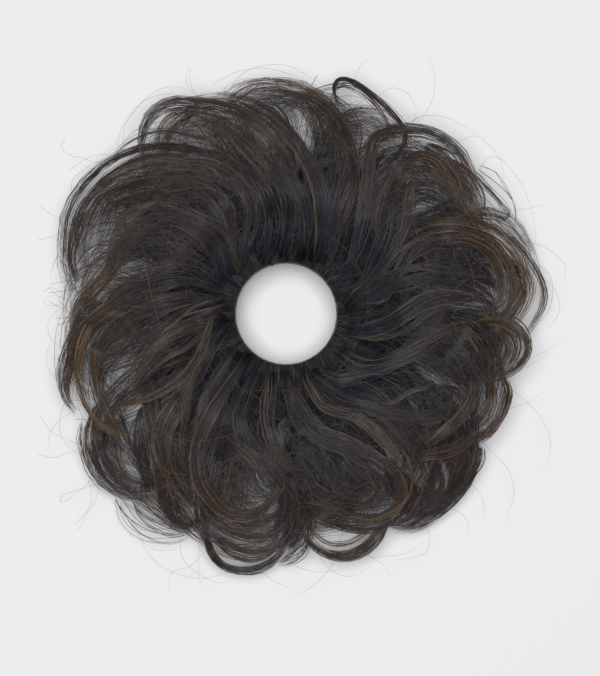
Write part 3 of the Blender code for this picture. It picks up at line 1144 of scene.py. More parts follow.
@dataclass(frozen=True)
class Lock:
    """A lock that shows from above, by its points in the photograph from root to tip.

    pixels are the photograph's own, width is a share of LOCK_HALF_WIDTH, levels are the
    shares of the mound's thickness at its root and tip, and tint runs from dark to gold.
    tresses is how many finer locks it falls into, each of so many strands.
    """

    pixels: Pixels
    width: float
    levels: tuple[float, float]
    tint: float
    tresses: int = 4
    strands: int = 11

    def count(self) -> int:
        """How many points its guides need: the further it winds, the more."""
        steps = np.diff(np.array(self.pixels, float), axis=0)
        turns = np.diff(np.unwrap(np.arctan2(steps[:, 1], steps[:, 0])))
        share = min(1.0, float(np.abs(turns).sum()) / FULL_TURN)
        return LOCK_POINTS_LEAST + round((LOCK_POINTS_MOST - LOCK_POINTS_LEAST) * share)

    def tress(self, place: float, random: np.random.Generator) -> Guide:
        """One of the finer locks.

        Args:
            place: where it lies across the lock, from -1 to 1.
            random: draws its small differences.

        Returns:
            Its guide.
        """
        line = smooth_line(np.array(self.pixels, float), self.count())
        along = shares_along(line)
        level = self.levels[0] + (self.levels[1] - self.levels[0]) * along
        starts_out = float(np.linalg.norm(plan_point(line[:1], level[:1])[0, :2] - RING_CENTRE))
        rooted = starts_out < ROOTED_WITHIN
        tucked = TIP_TUCK * eased(np.clip((along - 1 + LOCK_END) / LOCK_END, 0, 1))
        if not rooted:
            tucked = tucked + ROOT_TUCK * eased(np.clip(1 - along / ROOT_END, 0, 1))
        points = plan_point(line, level - tucked + random.uniform(-LOCK_PLAY, LOCK_PLAY))
        across = plan_across(points)
        shape = LOCK_SHAPE if rooted else LOOSE_LOCK_SHAPE
        half_width = LOCK_HALF_WIDTH * self.width * shape.at(along)
        phase, waves = random.uniform(0, math.tau), random.uniform(*LOCK_WAVES)
        drift = place + LOCK_DRIFT * np.sin(math.tau * waves * along + phase)
        points = points + across * (drift * (1 - 1 / self.tresses) * half_width)[:, None]
        own_width = half_width * TRESS_OVERLAP / self.tresses + FINEST_HALF_WIDTH
        guide = Guide(
            points=points,
            across=across,
            half_width=own_width,
            half_depth=own_width * LOCK_FLATNESS,
            tint=self.tint + random.normal(0, LOCK_TINT_PLAY),
            fullness=self.strands,
            ragged=0.0 if rooted else LOCK_END,
        )
        return wrapped(guide) if rooted else guide

    def guides(self, random: np.random.Generator) -> list[Guide]:
        """All its finer locks, side by side."""
        places = [(2 * index + 1) / self.tresses - 1 for index in range(self.tresses)]
        return [self.tress(place, random) for place in places]


# Levels in the mound that many locks share
TOP, HIGH, MID, LOW = 1.02, 0.92, 0.72, 0.50

UPPER_LEFT_LOCKS = (
    # the see-through band at the left edge, and the dark one inside it
    Lock(((252, 249), (255, 215), (243, 184), (221, 163), (186, 153), (147, 151), (112, 164),
          (87, 186), (71, 211), (65, 242), (65, 268), (72, 288), (86, 300)), 1.00, (0.95, LOW), 0.30, 5, 12),
    Lock(((216, 172), (186, 163), (150, 162), (118, 173), (98, 190), (84, 212), (77, 236),
          (78, 262)), 0.55, (0.90, 0.60), 0.32, 4, 5),
    Lock(((82, 212), (74, 236), (71, 260), (77, 284)), 0.60, (0.70, 0.50), 0.36, 4, 8),
    Lock(((238, 240), (212, 198), (178, 181), (143, 182), (114, 189), (97, 203), (85, 225),
          (81, 249), (88, 280)), 0.95, (HIGH, MID), 0.36, 5, 12),
    # dense hair under them
    Lock(((232, 262), (215, 240), (190, 225), (160, 212), (132, 206), (114, 215), (106, 235),
          (102, 255)), 1.60, (0.94, 0.78), 0.24, 7),
    Lock(((228, 250), (210, 220), (185, 201), (155, 192), (128, 194), (110, 206), (102, 226)),
         1.40, (0.93, 0.78), 0.28, 6),
    Lock(((205, 264), (175, 248), (150, 242), (130, 248), (115, 262), (104, 282)),
         1.50, (0.92, 0.80), 0.22, 6),
    # the band that crosses over it at the top left, and the wide one that it comes from
    Lock(((298, 198), (286, 160), (268, 134), (246, 116), (221, 106), (195, 103), (171, 104),
          (153, 114), (144, 130), (142, 150), (147, 182)), 0.62, (0.97, 1.0), 0.30, 4, 13),
    Lock(((288, 202), (270, 170), (250, 147), (232, 130), (212, 117), (190, 111), (172, 116)),
         0.85, (TOP, 0.86), 0.42, 5, 10),
    Lock(((240, 160), (225, 152), (205, 140), (180, 133), (158, 131), (138, 137), (122, 147),
          (111, 160)), 0.22, (1.02, 0.98), 0.34, 2, 7),
    Lock(((198, 110), (182, 118), (170, 128), (164, 144), (166, 166)),
         0.80, (0.86, MID), 0.56),
    # the bands that sweep over the top
    Lock(((318, 262), (325, 225), (322, 187), (308, 159), (290, 136), (268, 115), (240, 102),
          (210, 99), (180, 104)), 0.85, (TOP, 0.90), 0.46, 5, 12),
    Lock(((300, 262), (305, 225), (299, 195), (283, 171), (264, 155), (244, 141), (220, 124)),
         0.75, (TOP, 0.94), 0.36, 4, 12),
    # broad inner waves
    Lock(((235, 265), (241, 241), (243, 215), (235, 196), (216, 180), (191, 174), (169, 179),
          (152, 193), (140, 210)), 1.60, (0.98, HIGH), 0.40, 7),
    Lock(((229, 275), (222, 249), (205, 229), (181, 218), (157, 215), (136, 225), (123, 242),
          (112, 263), (102, 280)), 1.30, (TOP, HIGH), 0.38, 6),
    Lock(((143, 213), (186, 229), (204, 246), (214, 267)), 0.15, (1.03, 1.03), 0.55, 1, 4),
    Lock(((219, 289), (195, 277), (171, 275), (143, 284), (117, 299), (97, 315)),
         1.30, (TOP, HIGH), 0.40, 6),
    Lock(((140, 239), (123, 249), (109, 272), (92, 292), (78, 304), (71, 329)),
         0.75, (HIGH, MID), 0.48),
    Lock(((264, 263), (272, 232), (269, 208), (257, 187), (240, 172), (220, 162)),
         1.15, (TOP, 0.96), 0.34, 5),
    Lock(((281, 258), (291, 224), (287, 194), (272, 170), (254, 154)),
         1.00, (TOP, 0.96), 0.34, 5),
    Lock(((172, 197), (150, 205), (133, 220), (122, 240)), 0.22, (1.03, 0.98), 0.62, 1, 8),
)
UPPER_RIGHT_LOCKS = (
    # the band at the top, round its see-through eye
    Lock(((322, 262), (336, 220), (346, 182), (346, 150), (336, 121), (313, 101), (285, 93),
          (258, 91), (238, 96)), 1.00, (TOP, 0.80), 0.38, 5, 13),
    Lock(((222, 108), (240, 95), (262, 87), (282, 88), (298, 95)), 0.60, (0.80, 0.86), 0.42, 4, 4),
    Lock(((330, 262), (340, 215), (350, 170), (346, 138), (330, 106), (304, 87), (268, 80),
          (238, 84), (216, 97)), 0.50, (0.94, 0.62), 0.36, 4, 7),
    Lock(((310, 262), (324, 210), (332, 178), (334, 152), (331, 130)), 0.50, (1.0, 0.86), 0.30, 3),
    # the thin dark band that stands out at the top right, and the loose hair under it
    Lock(((340, 106), (334, 90), (339, 80), (352, 81), (366, 90), (381, 102), (395, 116),
          (404, 130), (405, 142), (398, 153), (386, 166), (373, 180), (362, 196)),
         0.24, (0.70, 1.04), 0.28, 3, 8),
    Lock(((334, 262), (340, 220), (347, 180), (348, 150), (343, 122), (336, 102), (338, 88),
          (350, 84)), 0.85, (0.90, 0.66), 0.46, 5, 4),
    Lock(((332, 92), (341, 86), (354, 88), (368, 98), (380, 112), (388, 126), (396, 146)),
         0.30, (0.66, 0.80), 0.56, 3, 4),
    Lock(((300, 103), (312, 94), (326, 88), (342, 86), (352, 88)), 0.16, (0.70, 0.66), 0.52, 1, 6),
    # the thick dark band and the fan of hair inside it
    Lock(((352, 262), (362, 215), (367, 180), (368, 156), (374, 138), (388, 130), (406, 128),
          (424, 130), (442, 137), (458, 149), (468, 164), (474, 180), (477, 196), (480, 212)),
         0.60, (0.98, 0.90), 0.36, 5, 13),
    Lock(((424, 146), (438, 154), (452, 168), (464, 187), (474, 208)),
         1.05, (0.84, 0.92), 0.48, 6, 10),
    Lock(((446, 160), (461, 178), (470, 194), (476, 210), (480, 226)), 1.05, (0.92, 0.86), 0.50, 6, 12),
    Lock(((393, 208), (396, 186), (405, 168), (420, 159), (436, 162), (448, 176), (457, 194),
          (463, 212)), 0.95, (0.98, 0.96), 0.42, 6),
    Lock(((372, 244), (388, 216), (404, 198), (424, 190), (442, 198), (452, 216)),
         1.50, (0.90, 0.82), 0.18, 7),
    Lock(((350, 262), (362, 228), (374, 194), (386, 176), (402, 170), (418, 176)),
         0.80, (0.97, HIGH), 0.32, 4, 10),
    Lock(((458, 160), (476, 178), (490, 192), (502, 204), (509, 213), (505, 219), (495, 216),
          (484, 210)), 0.16, (0.86, 0.84), 0.32, 2, 4),
    # the wide brown lock at the right edge, and the dark hair in its bend
    Lock(((408, 240), (425, 229), (446, 225), (470, 227), (492, 236), (508, 252), (517, 270),
          (520, 290), (512, 309), (498, 326)), 0.85, (0.99, 0.76), 0.58, 7, 7),
    Lock(((412, 254), (428, 244), (448, 240), (468, 242), (485, 250), (497, 263), (503, 280),
          (501, 297), (491, 312)), 0.55, (1.01, 0.84), 0.54, 4, 10),
    Lock(((505, 232), (521, 248), (534, 266), (543, 286), (543, 304), (534, 323), (520, 342)),
         0.45, (MID, LOW), 0.50, 3, 5),
    Lock(((510, 258), (521, 276), (522, 294), (513, 311), (500, 326), (486, 338)),
         1.00, (0.78, 0.70), 0.44, 6, 9),
    Lock(((474, 168), (489, 180), (503, 196), (511, 212), (514, 228)), 0.90, (0.70, 0.60), 0.44, 4, 2),
    Lock(((468, 214), (488, 214), (506, 222), (522, 238), (534, 256)), 0.75, (0.70, 0.55), 0.42, 4, 4),
    Lock(((398, 270), (425, 263), (452, 259), (476, 265), (492, 279), (498, 297)),
         1.50, (0.92, 0.76), 0.16, 7),
    Lock(((390, 287), (420, 283), (450, 284), (478, 291), (496, 305)),
         1.50, (0.92, 0.78), 0.20, 7),
    Lock(((404, 276), (430, 270), (456, 268), (480, 275), (494, 290)),
         1.30, (0.86, 0.72), 0.10, 6, 12),
    # hair that leaves the ring to the upper right
    Lock(((364, 284), (380, 258), (392, 232), (397, 206), (402, 180)), 1.10, (TOP, 0.98), 0.38, 5),
    Lock(((353, 296), (383, 291), (400, 266), (410, 253), (428, 242), (454, 246)),
         0.95, (1.0, TOP), 0.38, 5),
    Lock(((347, 310), (367, 294), (386, 282), (410, 275), (436, 273), (458, 278)),
         1.05, (TOP, TOP), 0.50, 5),
    Lock(((388, 262), (400, 238), (408, 214), (411, 190), (420, 172)), 0.60, (TOP, 0.98), 0.50, 3, 10),
    Lock(((331, 250), (338, 222), (346, 192), (355, 166)), 0.75, (TOP, 1.0), 0.44),
    Lock(((372, 250), (374, 225), (380, 200), (390, 178), (402, 158)), 0.28, (TOP, 1.0), 0.60, 2, 6),
)
LOWER_RIGHT_LOCKS = (
    # the wave beside the opening, and what lies under it
    Lock(((338, 351), (359, 365), (380, 366), (402, 356), (424, 342), (445, 330), (468, 322)),
         0.95, (TOP, TOP), 0.50, 5),
    Lock(((324, 373), (340, 378), (355, 375), (376, 370), (400, 358), (420, 340), (440, 312),
          (462, 296)), 0.85, (TOP, 0.98), 0.44, 5, 10),
    Lock(((346, 330), (372, 330), (398, 322), (424, 306), (450, 298), (476, 300)),
         1.00, (TOP, 0.98), 0.38, 5),
    # the golden loop at the right edge, and the hair inside it
    Lock(((470, 326), (488, 320), (505, 322), (518, 330), (526, 342), (526, 355), (516, 368),
          (500, 377), (482, 382), (462, 386)), 0.42, (0.86, 0.98), 0.64, 4, 7),
    Lock(((478, 330), (492, 327), (506, 335), (513, 348), (508, 360), (496, 368)),
         0.50, (0.80, 0.84), 0.44, 4, 8),
    Lock(((484, 318), (503, 321), (518, 332), (523, 348), (514, 364), (496, 375)),
         0.75, (0.74, 0.84), 0.34, 5, 6),
    Lock(((470, 318), (484, 336), (493, 356), (496, 378), (494, 400)), 0.80, (0.80, 0.76), 0.30, 5, 10),
    Lock(((440, 318), (460, 326), (476, 340), (486, 358), (490, 378), (488, 400)),
         0.95, (0.96, 0.84), 0.40, 6, 10),
    Lock(((430, 340), (448, 350), (462, 366), (472, 386), (474, 408)), 1.10, (0.94, 0.84), 0.26, 6, 10),
    Lock(((503, 376), (508, 390), (505, 405), (498, 420), (488, 432), (472, 441), (452, 446)),
         0.50, (0.76, 0.84), 0.40, 5, 8),
    Lock(((488, 380), (492, 394), (488, 410), (478, 424), (464, 434)),
         0.45, (0.80, 0.86), 0.46, 4, 8),
    # the lobe at the lower right
    Lock(((464, 432), (471, 446), (470, 464), (462, 482), (448, 498), (431, 511), (410, 519)),
         0.80, (0.78, LOW), 0.30, 6, 9),
    Lock(((475, 446), (474, 466), (465, 485), (449, 502), (430, 517), (410, 528), (390, 531)),
         0.60, (LOW, 0.42), 0.34, 6, 8),
    Lock(((482, 446), (480, 462), (472, 476), (461, 490)), 0.40, (0.56, 0.46), 0.26, 3, 4),
    Lock(((405, 420), (426, 440), (441, 462), (444, 484), (432, 502), (412, 514)),
         1.20, (0.82, 0.60), 0.18, 7),
    Lock(((420, 398), (440, 417), (455, 440), (459, 463), (450, 484)), 1.15, (0.84, 0.62), 0.24, 6),
    Lock(((385, 470), (404, 488), (412, 504), (402, 518), (380, 524)), 1.05, (0.72, 0.56), 0.22, 7),
    Lock(((440, 470), (432, 488), (418, 504), (400, 516)), 1.05, (0.66, 0.50), 0.18, 6),
    # the big inner curl, and the waves over it
    Lock(((291, 378), (293, 397), (304, 420), (321, 437), (342, 444), (364, 456),
          (386, 470), (397, 485), (393, 502), (380, 513), (355, 513), (324, 502), (304, 488)),
         1.25, (TOP, HIGH), 0.42, 7, 12),
    Lock(((296, 420), (306, 446), (322, 469), (344, 485), (368, 491)), 1.30, (0.86, 0.76), 0.22, 7),
    Lock(((288, 436), (296, 464), (310, 486), (332, 500), (356, 505)), 1.10, (0.74, 0.64), 0.22, 6),
    Lock(((322, 440), (342, 456), (360, 470), (372, 486), (364, 499), (346, 500)),
         1.10, (0.92, 0.84), 0.34, 6),
    Lock(((304, 366), (310, 384), (322, 404), (336, 411), (350, 414), (367, 424), (382, 438),
          (397, 456), (408, 474)), 0.60, (TOP, 1.04), 0.54, 4, 10),
    Lock(((392, 430), (404, 450), (412, 470), (411, 490), (401, 507), (385, 517), (364, 520),
          (342, 515), (322, 505), (304, 502), (288, 507)), 0.10, (1.03, 1.0), 0.60, 2, 4),
    Lock(((364, 398), (390, 403), (410, 392), (428, 385), (436, 377)), 0.28, (TOP, TOP), 0.66, 3, 7),
    Lock(((417, 451), (436, 437), (454, 423), (467, 406), (472, 389), (470, 372)),
         0.60, (1.0, 0.96), 0.54, 4, 10),
    Lock(((405, 468), (417, 459), (445, 454), (462, 445), (476, 436), (486, 426)),
         0.60, (0.96, 0.88), 0.54, 4, 10),
    Lock(((335, 385), (360, 392), (385, 412), (408, 432), (424, 455), (432, 480), (424, 505)),
         1.00, (0.98, 0.86), 0.32, 5),
    Lock(((430, 385), (452, 396), (464, 418), (466, 446), (458, 474), (442, 498)),
         1.00, (0.96, 0.76), 0.28, 5),
    Lock(((310, 372), (338, 398), (366, 406), (396, 412), (430, 416), (462, 408)),
         0.95, (1.0, 0.97), 0.36, 5, 10),
    # the thin ring of hair at the bottom
    Lock(((392, 512), (384, 526), (375, 540), (361, 552), (342, 557), (321, 552), (305, 538),
          (300, 520)), 0.46, (0.72, 0.60), 0.34, 4, 13),
    Lock(((300, 498), (315, 513), (338, 523), (362, 526), (384, 520), (399, 506)),
         0.75, (0.80, 0.72), 0.38, 5),
    Lock(((372, 528), (352, 541), (330, 543), (313, 532), (303, 516)), 0.30, (0.66, 0.6), 0.34, 3, 3),
)
LOWER_LEFT_LOCKS = (
    # hair that falls to the left edge
    Lock(((150, 300), (120, 304), (94, 318), (77, 340), (68, 364), (65, 384), (68, 400), (78, 414)),
         0.85, (0.96, 0.62), 0.52, 6),
    Lock(((104, 300), (86, 316), (77, 338), (74, 360), (78, 380)), 0.80, (0.84, 0.66), 0.34, 5, 9),
    Lock(((112, 304), (92, 322), (82, 346), (78, 374), (83, 400), (94, 419), (110, 431),
          (128, 435), (146, 428)), 0.38, (0.90, 0.84), 0.68, 3, 10),
    Lock(((116, 326), (98, 350), (96, 376), (103, 402), (114, 426), (121, 450)),
         0.55, (0.88, 0.74), 0.58, 4, 10),
    Lock(((212, 316), (207, 332), (197, 358), (179, 380), (153, 395), (131, 403), (110, 407)),
         0.40, (TOP, 0.96), 0.54, 3, 10),
    Lock(((225, 300), (200, 308), (182, 318), (160, 337), (143, 360), (135, 377)),
         1.10, (TOP, HIGH), 0.54, 5),
    Lock(((228, 318), (212, 340), (200, 366), (180, 390), (160, 402)), 0.85, (TOP, 0.97), 0.40),
    Lock(((190, 300), (160, 305), (135, 318), (112, 338), (98, 362)), 1.00, (0.98, 0.84), 0.44, 5),
    Lock(((200, 326), (172, 342), (150, 362), (137, 380), (130, 396)), 1.10, (TOP, 0.95), 0.50, 6),
    Lock(((154, 312), (127, 326), (108, 346), (99, 368), (100, 390)), 1.25, (0.88, 0.80), 0.30, 6),
    # the edge of the lower left
    Lock(((99, 404), (93, 424), (92, 446), (98, 465), (109, 481), (124, 493), (142, 499),
          (160, 497)), 0.80, (0.70, 0.52), 0.30, 6, 10),
    Lock(((108, 426), (105, 444), (109, 462), (121, 477), (139, 486), (157, 487)),
         1.15, (0.60, 0.52), 0.24, 7, 10),
    Lock(((84, 420), (80, 442), (86, 466), (98, 484), (116, 498)), 0.60, (0.60, 0.5), 0.30, 2, 3),
    Lock(((150, 398), (146, 424), (142, 450), (146, 475), (156, 495)), 0.85, (0.80, 0.62), 0.22, 5),
    Lock(((145, 372), (151, 389), (155, 423), (159, 458), (163, 490), (171, 512), (182, 523),
          (194, 521), (202, 508)), 0.95, (0.96, 0.62), 0.32, 6),
    Lock(((118, 414), (124, 436), (133, 456), (146, 472), (158, 480)), 1.05, (0.72, 0.60), 0.24, 5, 6),
    Lock(((116, 496), (126, 512), (141, 526), (160, 534), (181, 535), (200, 527)),
         1.00, (0.42, 0.40), 0.34, 5, 2),
    Lock(((134, 496), (144, 510), (160, 521), (180, 527), (197, 519)),
         0.90, (0.50, 0.44), 0.28, 4, 4),
    Lock(((148, 474), (156, 494), (167, 512), (181, 524), (197, 528)), 1.15, (0.72, 0.52), 0.24, 6, 10),
    Lock(((176, 498), (182, 514), (192, 530), (204, 542), (212, 552)), 0.70, (0.60, 0.50), 0.32, 4, 6),
    Lock(((180, 418), (176, 445), (179, 470), (188, 492), (197, 510)), 1.05, (0.94, 0.70), 0.36, 5),
    # the U-shaped lock at the bottom, and the bands outside it
    Lock(((250, 352), (236, 376), (220, 398), (205, 425), (198, 450), (199, 474), (208, 492),
          (223, 508), (241, 514), (259, 510), (274, 496), (283, 476), (286, 456), (284, 440)),
         0.66, (TOP, 0.94), 0.50, 5, 12),
    Lock(((200, 484), (203, 510), (206, 534), (211, 552), (221, 564), (237, 570), (256, 569),
          (274, 560), (286, 545), (290, 528)), 0.34, (0.70, 0.50), 0.34),
    Lock(((200, 496), (208, 515), (224, 529), (246, 535), (268, 530), (285, 516), (293, 498)),
         1.50, (0.80, 0.64), 0.34, 8),
    Lock(((214, 536), (229, 549), (250, 555), (271, 549), (284, 537)), 0.62, (0.60, 0.52), 0.40, 5, 9),
    Lock(((272, 462), (282, 486), (287, 510), (285, 533), (274, 552)), 1.30, (0.88, 0.56), 0.24, 7, 12),
    Lock(((286, 470), (298, 492), (302, 514), (296, 536), (286, 550)), 1.00, (0.80, 0.56), 0.26, 5),
    Lock(((302, 505), (308, 524), (304, 541), (293, 555), (278, 567)), 0.95, (0.66, 0.50), 0.34, 5, 5),
    Lock(((258, 372), (246, 398), (240, 422), (250, 446), (268, 464), (284, 482), (290, 500)),
         0.95, (TOP, 0.96), 0.42, 5),
    Lock(((222, 430), (238, 445), (256, 461), (274, 476), (286, 492)), 0.75, (1.01, 0.98), 0.52, 5, 10),
    Lock(((234, 380), (226, 408), (220, 438), (224, 466)), 1.20, (0.95, 0.86), 0.16, 5),
    Lock(((271, 372), (271, 389), (269, 415), (272, 440), (284, 461), (300, 480)),
         0.75, (TOP, 0.97), 0.54),
    Lock(((284, 370), (290, 389), (293, 409), (300, 427), (316, 446)), 0.55, (1.03, 1.0), 0.56, 3),
    Lock(((206, 352), (195, 370), (187, 392), (184, 416), (180, 440)),
         0.50, (TOP, 0.97), 0.58, 3, 10),
    Lock(((190, 385), (174, 409), (163, 434), (166, 460), (180, 490), (195, 507)),
         0.80, (0.98, 0.78), 0.50, 5, 10),
    Lock(((236, 350), (222, 380), (210, 400), (198, 436), (192, 470), (198, 502)),
         1.00, (1.0, 0.84), 0.38, 5),
)


@dataclass
class ShownLocks:
    """The locks that show from above in one quarter of the photograph."""

    name: str
    locks: tuple[Lock, ...]
    tree: StrandTree
    finish: bpy.types.Material
    seed: int
    style: StrandStyle = StrandStyle(strands=1, radius=0.00010, shortest=0.82)
    wisps: StrandStyle = StrandStyle(
        strands=1, radius=0.000045, frizz=0.0009, frizz_scale=24.0, spread=1.4, shortest=0.6, smoothness=4
    )
    wisp_share: float = 0.10
    strand_share: float = 1.2

    def build(self) -> None:
        """Builds one piece of strands for each lock, and one of all their wisps."""
        wisps = []
        for index, lock in enumerate(self.locks):
            guides = lock.guides(np.random.default_rng(GROUP_SEEDS * self.seed + index))
            for guide in guides:
                guide.fullness = round(guide.fullness * self.strand_share)
            name = f"{self.name}_{index + 1:02d}"
            seed = GROUP_SEEDS * self.seed + PIECE_SEEDS * index
            dressed(self.tree.grow(name, guides, self.style, self.finish, seed), Slot.HAIR, "upper_weft")
            for guide in guides[::2]:
                wisps.append(replace(coarse(guide), fullness=max(1.0, guide.fullness * self.wisp_share)))
        seed = GROUP_SEEDS * self.seed + GROUP_WISPS_SEED
        dressed(self.tree.grow(self.name + "_wisps", wisps, self.wisps, self.finish, seed), Slot.HAIR)


@dataclass
class HairGroup(ABC):
    """Hair that is one piece, along guides that are drawn in order."""

    tree: StrandTree
    finish: bpy.types.Material

    NAME: ClassVar[str]
    SEED: ClassVar[int]
    STYLE: ClassVar[StrandStyle]

    @abstractmethod
    def guides(self, random: np.random.Generator) -> list[Guide]:
        """The lines that it follows."""

    def build(self) -> None:
        """Builds all of it as one piece."""
        guides = self.guides(np.random.default_rng(self.SEED))
        dressed(self.tree.grow(self.NAME, guides, self.STYLE, self.finish, self.SEED), Slot.HAIR)


def spaced_degrees(count: int, random: np.random.Generator) -> list[float]:
    """Angles all round, one drawn from each of so many equal steps."""
    return [360 * (step + random.uniform(0, 1)) / count for step in range(count)]


def held_within(out: np.ndarray, eases: float, most: float) -> np.ndarray:
    """Distances that are kept as they are up to one length, and eased below another."""
    over = np.maximum(out - eases, 0.0)
    return np.minimum(out, eases) + (most - eases) * np.tanh(over / (most - eases))


@dataclass
class Backing(HairGroup):
    """The dense hair under the locks: it leaves the ring all round and ends in loose hooks.

    eases and furthest are shares of REACH: hooks are eased in past the first, and none
    gets past the second.
    """

    count: int = 100
    root_out: float = 0.0250
    lengths: tuple[float, float] = (0.052, 0.088)
    root_level: float = 0.5
    tip_levels: tuple[float, float] = (0.10, 0.80)
    straight: float = 0.45
    turns_deg: tuple[float, float] = (90.0, 190.0)
    lean_deg: float = 9.0
    sway_deg: float = 10.0
    eases: float = 0.64
    furthest: float = 0.90
    half_width: float = 0.0026
    swell: float = 0.0016
    flatness: float = 0.8
    tints: tuple[float, float] = (0.20, 0.46)

    NAME = "backing_hair"
    SEED = 11
    STYLE = StrandStyle(strands=9, radius=0.00012, shortest=0.75, frizz=0.0009)
    POINTS = 13
    ANTICLOCKWISE_FROM_DEG = 84
    ANTICLOCKWISE_TO_DEG = 282

    def way(self, root_deg: float) -> Way:
        """Which way the curls wind at that side of the ring."""
        left = self.ANTICLOCKWISE_FROM_DEG < root_deg < self.ANTICLOCKWISE_TO_DEG
        return Way.ANTICLOCKWISE if left else Way.CLOCKWISE

    def guide(self, root_deg: float, random: np.random.Generator) -> Guide:
        """One hook of hair, from the ring outwards."""
        length = random.uniform(*self.lengths)
        share = np.linspace(0.0, 1.0, self.POINTS)
        turned = np.clip((share - self.straight) / (1 - self.straight), 0, 1)
        lean_deg = random.normal(0, self.lean_deg)
        sway_deg = self.sway_deg * np.sin(math.tau * share + random.uniform(0, math.tau))
        turn_deg = self.way(root_deg).value * random.uniform(*self.turns_deg) * turned
        heading = np.radians(root_deg + (lean_deg + sway_deg) + turn_deg)
        steps = np.column_stack((np.cos(heading), np.sin(heading))) * length / (self.POINTS - 1)
        plan = polar(root_deg, self.root_out) + np.vstack(((0.0, 0.0), np.cumsum(steps[:-1], axis=0)))
        out = np.linalg.norm(plan, axis=1)
        eased_out = held_within(out, self.eases * REACH, self.furthest * REACH)
        plan = plan * (eased_out / out)[:, None]
        level = np.linspace(self.root_level, random.uniform(*self.tip_levels), self.POINTS)
        points = np.column_stack((plan + RING_CENTRE, mound_height(eased_out, level)))
        width = self.half_width + self.swell * np.sin(math.pi * share)
        tint = random.uniform(*self.tints)
        return Guide(points, plan_across(points), width, width * self.flatness, tint=tint)

    def guides(self, random: np.random.Generator) -> list[Guide]:
        """Its hooks, all round the ring."""
        return [self.guide(root_deg, random) for root_deg in spaced_degrees(self.count, random)]


@dataclass
class RootHair(HairGroup):
    """Short hair that bends over the top header from the opening's edge."""

    count: int = 260
    outs: tuple[float, ...] = (0.0174, 0.0171, 0.0174, 0.0195, 0.0240, 0.0300)
    heights: tuple[float, ...] = (0.0165, 0.0225, 0.0272, 0.0302, 0.0328, 0.0356)
    lean_deg: float = 7.0
    half_width: float = 0.0009
    half_depth: float = 0.0002
    tints: tuple[float, float] = (0.28, 0.54)

    NAME = "root_hair"
    SEED = 12
    STYLE = StrandStyle(strands=6, radius=0.00011, frizz=0.00003, shortest=0.7)

    def guide(self, root_deg: float, random: np.random.Generator) -> Guide:
        """One small tuft."""
        lean = random.normal(0, self.lean_deg) * np.linspace(0.0, 1.0, len(self.outs)) ** 2
        plan = [polar(root_deg + float(turn), out) for turn, out in zip(lean, self.outs)]
        points = np.column_stack((np.array(plan) + RING_CENTRE, self.heights))
        across = np.tile((*polar(root_deg + 90, 1.0), 0.0), (len(points), 1))
        width, depth = np.full(len(points), self.half_width), np.full(len(points), self.half_depth)
        return Guide(points, across, width, depth, tint=random.uniform(*self.tints))

    def guides(self, random: np.random.Generator) -> list[Guide]:
        """Its tufts, all round the opening."""
        return [self.guide(root_deg, random) for root_deg in spaced_degrees(self.count, random)]


@dataclass
class StrayHairs(HairGroup):
    """Single hairs that lie across the locks in all directions.

    lean is how far each turns from straight out or in, in radians, and bend is how much
    it turns in each metre.
    """

    count: int = 820
    nearest: float = 0.26
    furthest: float = 0.95
    shortest: float = 0.010
    longest: float = 0.042
    lean: float = 0.9
    bend: float = 45.0
    levels: tuple[float, float] = (1.0, 1.05)
    tints: tuple[float, float] = (0.30, 0.74)

    NAME = "stray_hairs"
    SEED = 21
    STYLE = StrandStyle(strands=1, radius=0.00007, frizz=0.0002, tint_spread=0.2, shortest=0.99)

    def hair(self, random: np.random.Generator) -> Guide:
        """One hair: a gentle arc over the crown of the mound, clear of the opening and the edge."""
        line = self.arc(random)
        outs = np.linalg.norm(line, axis=1)
        while outs.min() < self.nearest * REACH or outs.max() > self.furthest * REACH:
            line = self.arc(random)
            outs = np.linalg.norm(line, axis=1)
        height = mound_height(outs, random.uniform(*self.levels))
        points = np.column_stack((line + RING_CENTRE, height))
        thin = np.full(HAIR_POINTS, HAIR_PLAY)
        return Guide(points, plan_across(points), thin, thin, tint=random.uniform(*self.tints))

    def arc(self, random: np.random.Generator) -> np.ndarray:
        """An arc in plan, from the ring's middle, that starts anywhere over the hair."""
        start_deg = random.uniform(0, 360)
        out = REACH * math.sqrt(random.uniform(self.nearest**2, self.furthest**2))
        heading = math.radians(start_deg) + random.normal(0, self.lean) + math.pi * random.integers(0, 2)
        bend = random.normal(0, self.bend)
        step = random.uniform(self.shortest, self.longest) / (HAIR_POINTS - 1)
        point = polar(start_deg, out)
        line = []
        for _ in range(HAIR_POINTS):
            line.append(point)
            point = point + step * np.array((math.cos(heading), math.sin(heading)))
            heading += bend * step
        return np.array(line)

    def guides(self, random: np.random.Generator) -> list[Guide]:
        """Its hairs."""
        return [self.hair(random) for _ in range(self.count)]


